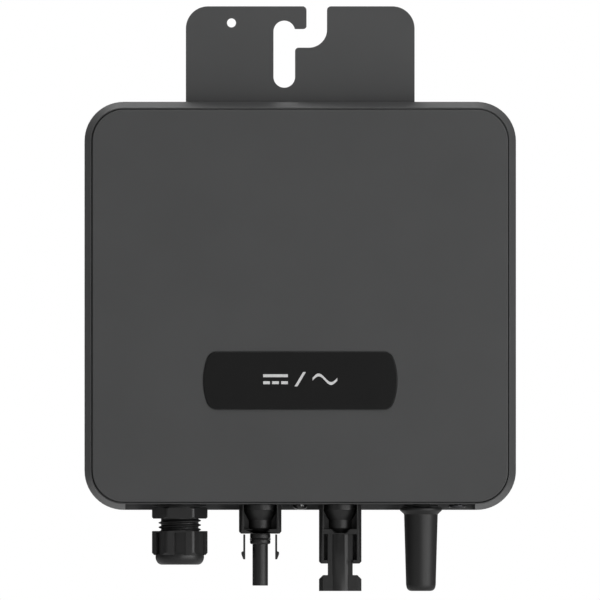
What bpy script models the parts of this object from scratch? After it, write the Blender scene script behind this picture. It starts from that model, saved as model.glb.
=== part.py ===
"""Micro inverter: the flat box that hangs behind one solar module and feeds the mains.

A die-cast shell with flared walls is closed by a front cover.  A slotted bracket on its
back hangs it from a rail bolt.  The cable gland, the two plug-in DC connectors, the
status lens, the earth screw and the stub antenna stand under a flat land in its lower
wall, and the circuit board and its components fill the inside.

The scene is in metres with +Z up, and the cover faces -Y.  The dimensions below are in
millimetres, and the helpers turn them into metres.  Heights are measured from the lower
edge of the shell, and the frame empty carries them to the world, whose origin lies on
the rear face of the bracket, where it bears on the rail.
"""
import bmesh
import bpy
from math import asin
from math import cos
from math import degrees
from math import pi
from math import radians
from math import sin
from math import sqrt
from mathutils import Matrix
from mathutils import Vector

MM = 0.001
GAP = 0.3                 # clearance kept between two pieces that touch
RAIL_FACE_HEIGHT = 197.0  # world origin above the lower edge of the shell

# Shell and cover
BODY_HALF_WIDTH = 96.0
BODY_HEIGHT = 181.6
BODY_RADIUS = 17.4
BRACKET_THICKNESS = 2.5
SHELL_BACK = -(BRACKET_THICKNESS + GAP)
REAR_FLANGE = 4.0         # straight part of the wall, before it tapers
SHELL_FRONT = -33.0       # front edge of the shell's lip
COVER_FRONT = -33.8
FLARE = 2.6               # how far the walls draw in from back to front
LIP = 0.45                # thickness of the lip round the cover
SEAM = 0.45               # open line between lip and cover
BACK_WALL = 2.5
CAVITY_HALF_WIDTH = 90.6
CAVITY_LOW = 6.0
CAVITY_HIGH = 175.6
CAVITY_RADIUS = 11.5
CAVITY_BACK = SHELL_BACK - BACK_WALL
LEDGE_FRONT = -30.2       # ledge that carries the cover gasket
GASKET_THICKNESS = 0.8
COVER_BACK = LEDGE_FRONT - GASKET_THICKNESS - 2 * GAP
LAND_HALF_WIDTH = 77.8    # flat land in the lower wall that carries the connectors
CORNER_STEPS = 6

# Badge on the cover
BADGE_LOW = 44.8
BADGE_HIGH = 70.3
BADGE_HALF_WIDTH = 43.0
BADGE_BULGE = 3.1
BADGE_CORNER = 2.7
BADGE_THICKNESS = 0.8
BADGE_RECESS = 0.6

# Rear ribs and screws
RIB_PITCH = 13.0
RIB_COUNT = 11
RIB_WIDTH = 2.2
RIB_PROUD = 2.0
RIB_LOW = 14.0
RIB_HIGH = 90.0
COVER_SCREW_X = 86.0
COVER_SCREW_HEIGHTS = (18.0, 91.0, 164.0)
BOSS_RADIUS = 3.5
BOSS_MEET = -11.8         # where the shell's bosses meet the cover's

# Bracket
BRACKET_HALF_WIDTH = 50.9
BRACKET_TOP = 224.1
BRACKET_BOTTOM = 98.0
BRACKET_CORNER = 9.9
BRACKET_SCREWS = ((-38.0, 162.0), (38.0, 162.0), (-38.0, 110.0), (38.0, 110.0))
LOCATING_HOLE = (-30.6, 216.7, 2.0)
SLOT_X = -7.1
SLOT_RADIUS = 4.8
SLOT_TOP = 212.9          # centre of the slot's upper end
SLOT_BOTTOM = 192.7       # centre of its lower end
CHANNEL_LEFT = 2.8
CHANNEL_RIGHT = 11.9
CHANNEL_FLOOR = 205.7
CHANNEL_RADIUS = 8.0
TOOTH_TIP = 213.95
MOUTH_RADIUS = 1.8

# Connectors, all on one line under the land
LAND = FLARE
PORT_Y = (SHELL_FRONT + SHELL_BACK - REAR_FLANGE) / 2
GLAND_X = -53.6
SOCKET_X = -17.8
PIN_X = 17.8
ANTENNA_X = 53.7
EARTH_X = 69.9
GLAND_CORNERS = 12.4      # half width across the corners of the hexagons
GLAND_CREST = 9.4
GLAND_ROOT = 8.35
GLAND_PITCH = 2.0
GLAND_HEX_BOTTOM = -3.9
GLAND_BODY_END = -16.0
NUT_TOP = -9.4
NUT_HEX_BOTTOM = -20.1
NUT_END = -24.4
NUT_BORE = 9.8
GLAND_BORE = 6.8
SEAL_OUTER = 6.1
SEAL_BORE = 4.2
PLUG_HALF_WIDTH = 9.45
PLUG_HALF_DEPTH = 7.75
PLUG_WALL = 2.1
PLUG_THREAD = 5.9
PLUG_NUT_CORNERS = 9.2
PLUG_CHAMFER = 0.9
PLUG_CORNER = 1.7
BAR_NOTCH = 4.5           # half width of the notch in the cross bar
COLUMN_HALF_WIDTH = 5.55
COLUMN_HALF_DEPTH = 5.5
COLUMN_BULGE = 6.5
NOTCH_TOP = -23.9         # notches that take the arms of a plug
NOTCH_BOTTOM = -29.0
PIN_END = -36.1
BAR_TOP = -8.5
BAR_BOTTOM = -10.6
LATCH_X = 7.1
LATCH_LENGTH = 11.1
LATCH_THICKNESS = 1.1
LATCH_BARB = 0.8
LATCH_WIDTH = 6.0

# Circuit board
BOARD_HALF_WIDTH = 80.0
BOARD_LOW = 22.0
BOARD_HIGH = 172.0
BOARD_BACK = -9.8
BOARD_THICKNESS = 1.6
BOARD_FRONT = BOARD_BACK - BOARD_THICKNESS
BOARD_SCREWS = ((-74.0, 28.0), (74.0, 28.0), (-74.0, 166.0), (74.0, 166.0))
SEAT = BOARD_FRONT - GAP  # where the components stand

ROUND_STEPS = 24
SMALL_STEPS = 12


# ---------------------------------------------------------------- scene and materials

def clear_scene():
    for item in list(bpy.data.objects):
        bpy.data.objects.remove(item, do_unlink=True)


def new_collection(name):
    collection = bpy.data.collections.new(name)
    bpy.context.scene.collection.children.link(collection)
    return collection


def new_material(name, grey, roughness, metallic=0.0):
    """A plain finish; grey is one level or an (r, g, b) triple, both linear."""
    color = grey if isinstance(grey, tuple) else (grey, grey, grey)
    material = bpy.data.materials.new(name)
    material.use_nodes = True
    shader = material.node_tree.nodes["Principled BSDF"]
    shader.inputs["Base Color"].default_value = (*color, 1.0)
    shader.inputs["Roughness"].default_value = roughness
    shader.inputs["Metallic"].default_value = metallic
    material.diffuse_color = (*color, 1.0)
    return material


clear_scene()
PARTS = new_collection("micro_inverter")
CUTTERS = new_collection("cutters")
FRAME = bpy.data.objects.new("body_frame", None)
FRAME.location = (0, 0, -RAIL_FACE_HEIGHT * MM)
PARTS.objects.link(FRAME)


def place(mesh, name, location, collection=PARTS):
    """Put a mesh into the scene at a point given in millimetres in the body's frame."""
    item = bpy.data.objects.new(name, mesh)
    collection.objects.link(item)
    item.parent = FRAME
    item.location = Vector(location) * MM
    return item


# ---------------------------------------------------------------- shapes in bmesh

def add_box(bm, low, high):
    low = Vector(low) * MM
    high = Vector(high) * MM
    matrix = Matrix.Translation((low + high) / 2) @ Matrix.Diagonal((*(high - low), 1))
    return bmesh.ops.create_cube(bm, size=1.0, matrix=matrix)["verts"]


def add_slab(bm, low, high, radius, steps=CORNER_STEPS):
    """A box whose four edges along Y are rounded."""
    corners = set(add_box(bm, low, high))
    edges = []
    for edge in bm.edges:
        start, end = edge.verts
        along = end.co - start.co
        if start in corners and end in corners and abs(along.y) > 0.99 * along.length:
            edges.append(edge)
    bmesh.ops.bevel(bm, geom=edges, offset=radius * MM, segments=steps, profile=0.5,
                    affect="EDGES")


def add_rod(bm, start, end, radius, steps=ROUND_STEPS, end_radius=None):
    """A round or tapered rod between two points."""
    start = Vector(start) * MM
    end = Vector(end) * MM
    turn = (end - start).to_track_quat("Z", "Y").to_matrix().to_4x4()
    last = radius if end_radius is None else end_radius
    bmesh.ops.create_cone(bm, cap_ends=True, segments=steps, radius1=radius * MM,
                          radius2=last * MM, depth=(end - start).length,
                          matrix=Matrix.Translation((start + end) / 2) @ turn)


def solid(name, bm, material=None, location=(0, 0, 0)):
    """Turn a bmesh into a piece, or into a cutter when it has no material."""
    mesh = bpy.data.meshes.new(name)
    bmesh.ops.recalc_face_normals(bm, faces=bm.faces)
    bm.to_mesh(mesh)
    bm.free()
    if material is None:
        item = place(mesh, name, location, CUTTERS)
        item.hide_render = True
        item.display_type = "WIRE"
        return item
    mesh.materials.append(material)
    return place(mesh, name, location)


def smooth(item, angle=35):
    item.data.shade_smooth()
    item.data.set_sharp_from_angle(angle=radians(angle))
    return item


def boolean(item, tool, operation):
    modifier = item.modifiers.new(tool.name, "BOOLEAN")
    modifier.operation = operation
    modifier.object = tool
    return item


def turned(name, profile, material=None, location=(0, 0, 0), steps=ROUND_STEPS):
    """A turned piece about the local Z axis, from (radius, height) points that run down
    its outer side.  A profile that starts and ends on the axis is solid, and any other
    one is closed round a bore."""
    points = [(radius * MM, 0.0, height * MM) for radius, height in profile]
    count = len(points)
    links = [(index, index + 1) for index in range(count - 1)]
    if profile[0][0] > 0.0:
        links.append((count - 1, 0))
    mesh = bpy.data.meshes.new(name)
    mesh.from_pydata(points, links, [])
    if material is None:
        item = place(mesh, name, location, CUTTERS)
        item.hide_render = True
        item.display_type = "WIRE"
    else:
        mesh.materials.append(material)
        item = place(mesh, name, location)
    screw = item.modifiers.new("Turn", "SCREW")
    screw.steps = steps
    screw.render_steps = steps
    screw.use_merge_vertices = True
    screw.merge_threshold = 0.00001
    screw.use_smooth_shade = True
    return item


def thread(top, bottom, crest, root, pitch):
    """Ridges of a thread as profile points, from its upper end down."""
    points = []
    height = top
    while height - pitch >= bottom:
        points.append((root, height))
        points.append((root, height - 0.25 * pitch))
        points.append((crest, height - 0.5 * pitch))
        points.append((crest, height - 0.75 * pitch))
        height -= pitch
    points.append((root, height))
    return points


def arc(center, radius, start, end, steps):
    """Points of an arc in the plane of the cover, as (x, height)."""
    points = []
    for index in range(steps + 1):
        angle = radians(start + (end - start) * index / steps)
        points.append((center[0] + radius * cos(angle), center[1] + radius * sin(angle)))
    return points


def circle(center, radius, steps):
    return arc(center, radius, 0, 360, steps)[:-1]


def flat_plate(name, outlines, back, thickness, material=None):
    """A plate cut to an outline, with its rear face at the depth given."""
    curve = bpy.data.curves.new(name + "_outline", "CURVE")
    curve.dimensions = "2D"
    curve.fill_mode = "BOTH"
    curve.extrude = thickness / 2 * MM
    for outline in outlines:
        spline = curve.splines.new("POLY")
        spline.points.add(len(outline) - 1)
        for point, (x, height) in zip(spline.points, outline):
            point.co = (x * MM, height * MM, 0.0, 1.0)
        spline.use_cyclic_u = True
    guide = bpy.data.objects.new(name + "_outline", curve)
    CUTTERS.objects.link(guide)
    mesh = mesh_of(guide)
    mesh.transform(Matrix.Rotation(pi / 2, 4, "X"))
    bm = bmesh.new()
    bm.from_mesh(mesh)
    bpy.data.meshes.remove(mesh)
    return solid(name, bm, material, (0, back - thickness / 2, 0))


def mesh_of(curve_object):
    """The closed mesh of a curve, which is then removed."""
    bpy.context.view_layer.update()
    graph = bpy.context.evaluated_depsgraph_get()
    mesh = bpy.data.meshes.new_from_object(curve_object.evaluated_get(graph))
    bpy.data.objects.remove(curve_object, do_unlink=True)
    bm = bmesh.new()
    bm.from_mesh(mesh)
    bmesh.ops.remove_doubles(bm, verts=bm.verts, dist=0.00001)
    bm.to_mesh(mesh)
    bm.free()
    return mesh


def wire(name, route, radius, material):
    """A lead along a route of hand-set points, drawn as a smooth curve."""
    points = smooth_route(route, 4)
    curve = bpy.data.curves.new(name, "CURVE")
    curve.dimensions = "3D"
    curve.bevel_depth = radius * MM
    curve.bevel_resolution = 2
    curve.use_fill_caps = True
    spline = curve.splines.new("POLY")
    spline.points.add(len(points) - 1)
    for point, place_at in zip(spline.points, points):
        point.co = (*(place_at * MM), 1.0)
    curve.materials.append(material)
    item = bpy.data.objects.new(name, curve)
    PARTS.objects.link(item)
    item.parent = FRAME
    return item


def smooth_route(route, steps):
    """Catmull-Rom points through a route."""
    knots = [Vector(point) for point in route]
    knots = [2 * knots[0] - knots[1]] + knots + [2 * knots[-1] - knots[-2]]
    points = []
    for index in range(1, len(knots) - 2):
        before, start, end, after = knots[index - 1:index + 3]
        for step in range(steps):
            t = step / steps
            points.append(0.5 * (2 * start + (end - before) * t
                                 + (2 * before - 5 * start + 4 * end - after) * t ** 2
                                 + (3 * start - before - 3 * end + after) * t ** 3))
    points.append(knots[-2])
    return points


# ---------------------------------------------------------------- finishes

POWDER = new_material("powder_coated_aluminium", 0.065, 0.55, 0.3)
BRACKET_COAT = new_material("bracket_powder_coat", 0.065, 0.55, 0.3)
RUBBER = new_material("black_rubber", 0.012, 0.8)
BADGE_FILM = new_material("badge_film", 0.013, 0.25)
STEEL = new_material("stainless_steel", 0.5, 0.35, 1.0)
BLACK_STEEL = new_material("blackened_steel", 0.05, 0.4, 0.8)
NYLON = new_material("black_nylon", 0.018, 0.45)
PLUG_PLASTIC = new_material("connector_plastic", 0.02, 0.45)
TINNED_COPPER = new_material("tinned_copper", 0.6, 0.3, 1.0)
RADOME_PLASTIC = new_material("radome_plastic", 0.02, 0.4)
BRASS = new_material("brass", (0.62, 0.42, 0.12), 0.3, 1.0)
LENS = new_material("smoked_lens", 0.03, 0.15)
BOARD_RESIST = new_material("green_solder_resist", (0.01, 0.12, 0.05), 0.4)
FERRITE = new_material("ferrite", 0.03, 0.6)
COPPER_WINDING = new_material("enamelled_copper", (0.5, 0.14, 0.05), 0.35, 0.7)
CAN = new_material("capacitor_sleeve", 0.02, 0.35)
FILM_CASE = new_material("film_capacitor_case", (0.35, 0.3, 0.05), 0.5)
RELAY_CASE = new_material("relay_case", (0.05, 0.08, 0.2), 0.4)
FUSE_CASE = new_material("fuse_holder_plastic", 0.03, 0.5)
MODULE_RESIST = new_material("blue_solder_resist", (0.01, 0.04, 0.2), 0.4)
EPOXY = new_material("transistor_epoxy", 0.01, 0.5)
PAD = new_material("heat_pad_silicone", (0.3, 0.33, 0.36), 0.8)
RED_LEAD = new_material("red_insulation", (0.4, 0.02, 0.015), 0.5)
BLACK_LEAD = new_material("black_insulation", 0.015, 0.5)
GREEN_BLOCK = new_material("terminal_block_plastic", (0.03, 0.25, 0.08), 0.5)
COAX_JACKET = new_material("coax_jacket", 0.03, 0.45)


# ---------------------------------------------------------------- shell and cover

def tapered_block():
    """The shell's outside: a straight rear flange that draws in towards the front."""
    bm = bmesh.new()
    add_slab(bm, (-BODY_HALF_WIDTH, SHELL_BACK - REAR_FLANGE, 0),
             (BODY_HALF_WIDTH, SHELL_BACK, BODY_HEIGHT), BODY_RADIUS)
    front = min(bm.faces, key=lambda face: face.calc_center_median().y)
    taper = SHELL_BACK - REAR_FLANGE - SHELL_FRONT
    bmesh.ops.inset_region(bm, faces=[front], thickness=FLARE * MM, depth=taper * MM,
                           use_boundary=True, use_even_offset=True)
    back_edges = []
    for edge in bm.edges:
        if all(abs(vert.co.y - SHELL_BACK * MM) < 1e-6 for vert in edge.verts):
            back_edges.append(edge)
    bmesh.ops.bevel(bm, geom=back_edges, offset=0.8 * MM, segments=2, profile=0.5,
                    affect="EDGES")
    return bm


def shell_hollow():
    """Cavity, seat of the cover, and the land under the connectors."""
    bm = bmesh.new()
    add_slab(bm, (-CAVITY_HALF_WIDTH, -40, CAVITY_LOW),
             (CAVITY_HALF_WIDTH, CAVITY_BACK, CAVITY_HIGH), CAVITY_RADIUS)
    return solid("cut_cavity", bm)


def shell_rebate():
    inset = FLARE + LIP
    bm = bmesh.new()
    add_slab(bm, (-BODY_HALF_WIDTH + inset, -40, inset),
             (BODY_HALF_WIDTH - inset, LEDGE_FRONT, BODY_HEIGHT - inset), BODY_RADIUS - inset)
    return solid("cut_cover_seat", bm)


def shell_land():
    bm = bmesh.new()
    add_box(bm, (-LAND_HALF_WIDTH, -40, -10), (LAND_HALF_WIDTH, SHELL_BACK - REAR_FLANGE, LAND))
    return solid("cut_connector_land", bm)


def shell_bosses():
    """Screw bosses inside and cooling ribs on the back."""
    bm = bmesh.new()
    root = CAVITY_BACK + 1.0
    for side in (-1, 1):
        for height in COVER_SCREW_HEIGHTS:
            x = side * COVER_SCREW_X
            add_rod(bm, (x, root, height), (x, BOSS_MEET, height), BOSS_RADIUS, SMALL_STEPS)
    for x, height in BOARD_SCREWS:
        add_rod(bm, (x, root, height), (x, BOARD_BACK + GAP, height), 3.4, SMALL_STEPS)
    for x, height in BRACKET_SCREWS:
        add_rod(bm, (x, root, height), (x, CAVITY_BACK - 2.5, height), 3.6, SMALL_STEPS)
    for index in range(RIB_COUNT):
        x = (index - (RIB_COUNT - 1) / 2) * RIB_PITCH
        add_box(bm, (x - RIB_WIDTH / 2, SHELL_BACK - 1.0, RIB_LOW),
                (x + RIB_WIDTH / 2, SHELL_BACK + RIB_PROUD, RIB_HIGH))
    return solid("add_bosses_and_ribs", bm)


def shell_holes():
    """Every hole through the shell, with the counterbores of the cover screws."""
    bm = bmesh.new()
    for side in (-1, 1):
        for height in COVER_SCREW_HEIGHTS:
            x = side * COVER_SCREW_X
            add_rod(bm, (x, 1, height), (x, -14, height), 2.1, SMALL_STEPS)
    for x, height in BOARD_SCREWS:
        add_rod(bm, (x, CAVITY_BACK - 0.8, height), (x, -14, height), 1.6, SMALL_STEPS)
    for x, height in BRACKET_SCREWS:
        add_rod(bm, (x, 1, height), (x, CAVITY_BACK - 1.5, height), 2.1, SMALL_STEPS)
    ports = ((GLAND_X, GLAND_CREST + GAP), (SOCKET_X, PLUG_THREAD + GAP),
             (PIN_X, PLUG_THREAD + GAP), (ANTENNA_X, 4.3), (0.0, 2.3), (EARTH_X, 2.1))
    for x, radius in ports:
        add_rod(bm, (x, PORT_Y, -5), (x, PORT_Y, CAVITY_LOW + 2), radius, 24)
    return solid("cut_holes", bm)


def head_sinks():
    bm = bmesh.new()
    for side in (-1, 1):
        for height in COVER_SCREW_HEIGHTS:
            x = side * COVER_SCREW_X
            add_rod(bm, (x, 1, height), (x, SHELL_BACK - 2.6, height), 3.1, SMALL_STEPS)
    return solid("cut_head_sinks", bm)


def make_shell():
    shell = solid("main_shell", tapered_block(), POWDER)
    boolean(shell, shell_hollow(), "DIFFERENCE")
    boolean(shell, shell_rebate(), "DIFFERENCE")
    boolean(shell, shell_land(), "DIFFERENCE")
    boolean(shell, shell_bosses(), "UNION")
    boolean(shell, shell_holes(), "DIFFERENCE")
    boolean(shell, head_sinks(), "DIFFERENCE")


def badge_outline(grow):
    """Badge outline with bulging ends, grown all round by the amount given."""
    middle = (BADGE_LOW + BADGE_HIGH) / 2
    half = (BADGE_HIGH - BADGE_LOW) / 2 + grow
    width = BADGE_HALF_WIDTH + grow
    radius = (half ** 2 + BADGE_BULGE ** 2) / (2 * BADGE_BULGE)
    corner = BADGE_CORNER + grow
    # the corner arc touches the straight edge and the end arc from inside
    reach = sqrt((radius - corner) ** 2 - (half - corner) ** 2)
    corner_x = width - radius + reach
    tilt = degrees(asin((half - corner) / (radius - corner)))
    right = arc((corner_x, middle - half + corner), corner, -90, -tilt, 4)
    right += arc((width - radius, middle), radius, -tilt, tilt, 8)[1:-1]
    right += arc((corner_x, middle + half - corner), corner, tilt, 90, 4)
    return right + [(-x, height) for x, height in reversed(right)]


def make_cover():
    inset = FLARE + LIP + SEAM
    bm = bmesh.new()
    add_slab(bm, (-BODY_HALF_WIDTH + inset, COVER_FRONT, inset),
             (BODY_HALF_WIDTH - inset, COVER_BACK, BODY_HEIGHT - inset), BODY_RADIUS - inset)
    front_edges = []
    for edge in bm.edges:
        if all(abs(vert.co.y - COVER_FRONT * MM) < 1e-6 for vert in edge.verts):
            front_edges.append(edge)
    bmesh.ops.bevel(bm, geom=front_edges, offset=0.4 * MM, segments=2, profile=0.5,
                    affect="EDGES")
    cover = solid("front_cover", bm, POWDER)
    posts = bmesh.new()
    pilots = bmesh.new()
    for side in (-1, 1):
        for height in COVER_SCREW_HEIGHTS:
            x = side * COVER_SCREW_X
            add_rod(posts, (x, COVER_BACK - 0.5, height), (x, BOSS_MEET - GAP, height),
                    BOSS_RADIUS, SMALL_STEPS)
            add_rod(pilots, (x, -25, height), (x, -5, height), 1.9, SMALL_STEPS)
    boolean(cover, solid("add_cover_posts", posts), "UNION")
    boolean(cover, solid("cut_cover_pilots", pilots), "DIFFERENCE")
    recess = flat_plate("cut_badge_recess", [badge_outline(GAP)], COVER_FRONT + BADGE_RECESS,
                        BADGE_RECESS + 2)
    boolean(cover, recess, "DIFFERENCE")
    badge_back = COVER_FRONT + BADGE_RECESS - GAP
    flat_plate("badge", [badge_outline(0)], badge_back, BADGE_THICKNESS, BADGE_FILM)


def make_cover_gasket():
    outer = FLARE + LIP + GAP
    inner = outer + 1.4
    bm = bmesh.new()
    front = LEDGE_FRONT - GAP - GASKET_THICKNESS
    add_slab(bm, (-BODY_HALF_WIDTH + outer, front, outer),
             (BODY_HALF_WIDTH - outer, LEDGE_FRONT - GAP, BODY_HEIGHT - outer),
             BODY_RADIUS - outer)
    gasket = solid("cover_gasket", bm, RUBBER)
    hole = bmesh.new()
    add_slab(hole, (-BODY_HALF_WIDTH + inner, -40, inner),
             (BODY_HALF_WIDTH - inner, 0, BODY_HEIGHT - inner), BODY_RADIUS - inner)
    boolean(gasket, solid("cut_gasket", hole), "DIFFERENCE")


def screw_solid(name, x, height, back, head, shank, material):
    """A screw driven from the rear; head and shank are (radius, length)."""
    bm = bmesh.new()
    add_rod(bm, (0, 0, 0), (0, -head[1], 0), head[0], SMALL_STEPS)
    item = solid(name, bm, material, (x, back, height))
    stem = bmesh.new()
    add_rod(stem, (0, -head[1] + 0.5, 0), (0, -head[1] - shank[1], 0), shank[0], SMALL_STEPS)
    return smooth(boolean(item, solid("add_stem_" + name, stem, None, (x, back, height)),
                          "UNION"))


def make_cover_screws():
    number = 1
    for side in (-1, 1):
        for height in COVER_SCREW_HEIGHTS:
            screw_solid("cover_screw_%d" % number, side * COVER_SCREW_X, height,
                        SHELL_BACK - 0.2, (2.7, 2.1), (1.6, 15.0), STEEL)
            number += 1


# ---------------------------------------------------------------- bracket

def bracket_outline():
    """Plate outline, which takes in the hook slot through its mouth in the top edge."""
    half = BRACKET_HALF_WIDTH
    corner = BRACKET_CORNER
    top = BRACKET_TOP
    mouth = top - MOUTH_RADIUS
    points = arc((-half + corner, top - corner), corner, 180, 90, 6)
    points += arc((CHANNEL_LEFT - MOUTH_RADIUS, mouth), MOUTH_RADIUS, 90, 0, 3)
    points += arc((CHANNEL_LEFT - 1.4, TOOTH_TIP + 1.4), 1.4, 0, -90, 3)
    points.append((SLOT_X + SLOT_RADIUS + 0.9, TOOTH_TIP))
    points += arc((SLOT_X, SLOT_TOP), SLOT_RADIUS, 18, 180, 10)
    points += arc((SLOT_X, SLOT_BOTTOM), SLOT_RADIUS, 180, 360, 10)
    points += arc((SLOT_X + SLOT_RADIUS + 1.3, CHANNEL_FLOOR - 1.3), 1.3, 180, 90, 3)
    points += arc((CHANNEL_RIGHT - CHANNEL_RADIUS, CHANNEL_FLOOR + CHANNEL_RADIUS),
                  CHANNEL_RADIUS, 270, 360, 6)
    points += arc((CHANNEL_RIGHT + MOUTH_RADIUS, mouth), MOUTH_RADIUS, 180, 90, 3)
    points += arc((half - corner, top - corner), corner, 90, 0, 6)
    points += arc((half - 5, BRACKET_BOTTOM + 5), 5, 0, -90, 4)
    points += arc((-half + 5, BRACKET_BOTTOM + 5), 5, -90, -180, 4)
    return points


def make_bracket():
    x, height, radius = LOCATING_HOLE
    outlines = [bracket_outline(), circle((x, height), radius, 16)]
    plate = flat_plate("mounting_bracket", outlines, 0, BRACKET_THICKNESS, BRACKET_COAT)
    bm = bmesh.new()
    for x, height in BRACKET_SCREWS:
        add_rod(bm, (x, 0.4, height), (x, -2.2, height), 3.9, SMALL_STEPS, 1.95)
    boolean(plate, solid("cut_countersinks", bm), "DIFFERENCE")
    holes = bmesh.new()
    for x, height in BRACKET_SCREWS:
        add_rod(holes, (x, -1, height), (x, -4, height), 2.0, SMALL_STEPS)
    boolean(plate, solid("cut_bracket_holes", holes), "DIFFERENCE")


def make_bracket_screws():
    for number, (x, height) in enumerate(BRACKET_SCREWS, 1):
        name = "bracket_screw_%d" % number
        bm = bmesh.new()
        add_rod(bm, (0, -0.1, 0), (0, -1.9, 0), 3.1, SMALL_STEPS, 1.4)
        item = solid(name, bm, STEEL, (x, 0, height))
        stem = bmesh.new()
        add_rod(stem, (0, -1.5, 0), (0, -6.0, 0), 1.6, SMALL_STEPS)
        smooth(boolean(item, solid("add_stem_" + name, stem, None, (x, 0, height)), "UNION"))


# ---------------------------------------------------------------- cable gland

def add_hexagon(bm, top, bottom, corners):
    """A hexagon bar on the local Z axis with two of its corners on the X axis."""
    add_rod(bm, (0, 0, bottom), (0, 0, top), corners, 6)
    bmesh.ops.rotate(bm, verts=bm.verts, matrix=Matrix.Rotation(pi / 6, 3, "Z"))


def make_gland_body():
    """Hexagon with a thread above it, through the wall, and one below it for the nut."""
    at = (GLAND_X, PORT_Y, 0)
    bm = bmesh.new()
    add_hexagon(bm, LAND - 1.5, GLAND_HEX_BOTTOM, GLAND_CORNERS)
    body = solid("gland_body", bm, NYLON, at)
    profile = [(0, 13.0), (GLAND_CREST - 0.6, 13.0), (GLAND_CREST, 12.4), (GLAND_CREST, 0.0),
               (GLAND_ROOT, 0.0)]
    profile += thread(GLAND_HEX_BOTTOM - 0.6, GLAND_BODY_END + 1.0, GLAND_CREST, GLAND_ROOT,
                      GLAND_PITCH)
    profile += [(GLAND_ROOT - 0.5, GLAND_BODY_END), (0, GLAND_BODY_END)]
    boolean(body, turned("add_gland_thread", profile, None, at, 24), "UNION")
    bore = bmesh.new()
    add_rod(bore, (0, 0, 20), (0, 0, -30), GLAND_BORE, 24)
    boolean(body, solid("cut_gland_bore", bore, None, at), "DIFFERENCE")


def make_gland_seals():
    at = (GLAND_X, PORT_Y, 0)
    top = LAND - GAP
    turned("gland_washer", [(12.0, top), (12.0, LAND - 1.2), (9.7, LAND - 1.2), (9.7, top)],
           RUBBER, at)
    turned("gland_seal", [(SEAL_OUTER, -12.0), (SEAL_OUTER, -18.6), (7.6, -19.2),
                          (7.6, -21.1), (SEAL_BORE, -21.1), (SEAL_BORE, -12.0)],
           RUBBER, at, 24)


def make_gland_nuts():
    at = (GLAND_X, PORT_Y, 0)
    bm = bmesh.new()
    add_hexagon(bm, NUT_TOP, NUT_HEX_BOTTOM, GLAND_CORNERS)
    nut = solid("gland_dome_nut", bm, NYLON, at)
    dome = [(0, NUT_TOP - 1), (10.6, NUT_TOP - 1), (11.6, NUT_HEX_BOTTOM), (10.75, -21.2),
            (10.6, -22.2), (9.9, -23.4), (8.9, NUT_END), (0, NUT_END)]
    boolean(nut, turned("add_nut_dome", dome, None, at), "UNION")
    inside = [(0, 0), (NUT_BORE, 0), (NUT_BORE, -20.2), (7.9, -21.4), (5.2, -21.4),
              (5.2, -30), (0, -30)]
    boolean(nut, turned("cut_nut_bore", inside, None, at), "DIFFERENCE")
    bm = bmesh.new()
    add_hexagon(bm, CAVITY_LOW + GAP + 4.0, CAVITY_LOW + GAP, 12.1)
    lock = solid("gland_lock_nut", bm, NYLON, at)
    bore = bmesh.new()
    add_rod(bore, (0, 0, 0), (0, 0, 20), GLAND_CREST + GAP, 24)
    boolean(lock, solid("cut_lock_nut_bore", bore, None, at), "DIFFERENCE")


# ---------------------------------------------------------------- DC connectors

def plug_block(bm, top, bottom, half_depth, chamfer, chamfered_height):
    """A connector block with chamfered corners, whose side edges at one height are
    chamfered as well."""
    low = (-PLUG_HALF_WIDTH, -half_depth, bottom)
    corners = set(add_box(bm, low, (PLUG_HALF_WIDTH, half_depth, top)))
    edges = []
    for edge in bm.edges:
        start, end = edge.verts
        level = abs(start.co.z - chamfered_height * MM) < 1e-6 and abs(start.co.x - end.co.x) < 1e-6
        if level and start in corners and abs(start.co.z - end.co.z) < 1e-6:
            edges.append(edge)
    bmesh.ops.bevel(bm, geom=edges, offset=chamfer * MM, segments=1, affect="EDGES")
    uprights = []
    for edge in bm.edges:
        start, end = edge.verts
        upright = abs(start.co.z - end.co.z) > 1e-6
        if upright and at_corner(start.co, half_depth) and at_corner(end.co, half_depth):
            uprights.append(edge)
    bmesh.ops.bevel(bm, geom=uprights, offset=PLUG_CORNER * MM, segments=1, affect="EDGES")


def at_corner(point, half_depth):
    across = abs(abs(point.x) - PLUG_HALF_WIDTH * MM) < 1e-6
    return across and abs(abs(point.y) - half_depth * MM) < 1e-6


def cut_windows(item, name, at, stretches):
    """Sink the front and back between the side walls, over each stretch of height, and
    notch the cross bar round the barrel."""
    bm = bmesh.new()
    reach = PLUG_HALF_WIDTH - PLUG_WALL
    pockets = [(reach, 3.2, top, bottom) for top, bottom in stretches]
    for side in (-1, 1):
        for half_width, start, top, bottom in pockets:
            ends = sorted((side * start, side * (PLUG_HALF_DEPTH + 2)))
            add_box(bm, (-half_width, ends[0], bottom), (half_width, ends[1], top))
    boolean(item, solid(name, bm, None, at), "DIFFERENCE")
    notch = bmesh.new()
    for side in (-1, 1):
        ends = sorted((side * 4.0, side * (PLUG_HALF_DEPTH + 2)))
        add_box(notch, (-BAR_NOTCH, ends[0], BAR_BOTTOM - 0.1), (BAR_NOTCH, ends[1], BAR_TOP + 0.1))
    boolean(item, solid(name + "_notch", notch, None, at), "DIFFERENCE")


def plug_neck():
    """Thread through the wall, flange and cone that both connectors start with."""
    return [(0, 14.0), (PLUG_THREAD - 0.5, 14.0), (PLUG_THREAD, 13.5), (PLUG_THREAD, LAND - GAP),
            (7.7, LAND - GAP), (7.7, -0.3), (7.2, -0.3), (5.45, -4.5), (5.3, -8.2),
            (4.3, -10.0)]


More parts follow.
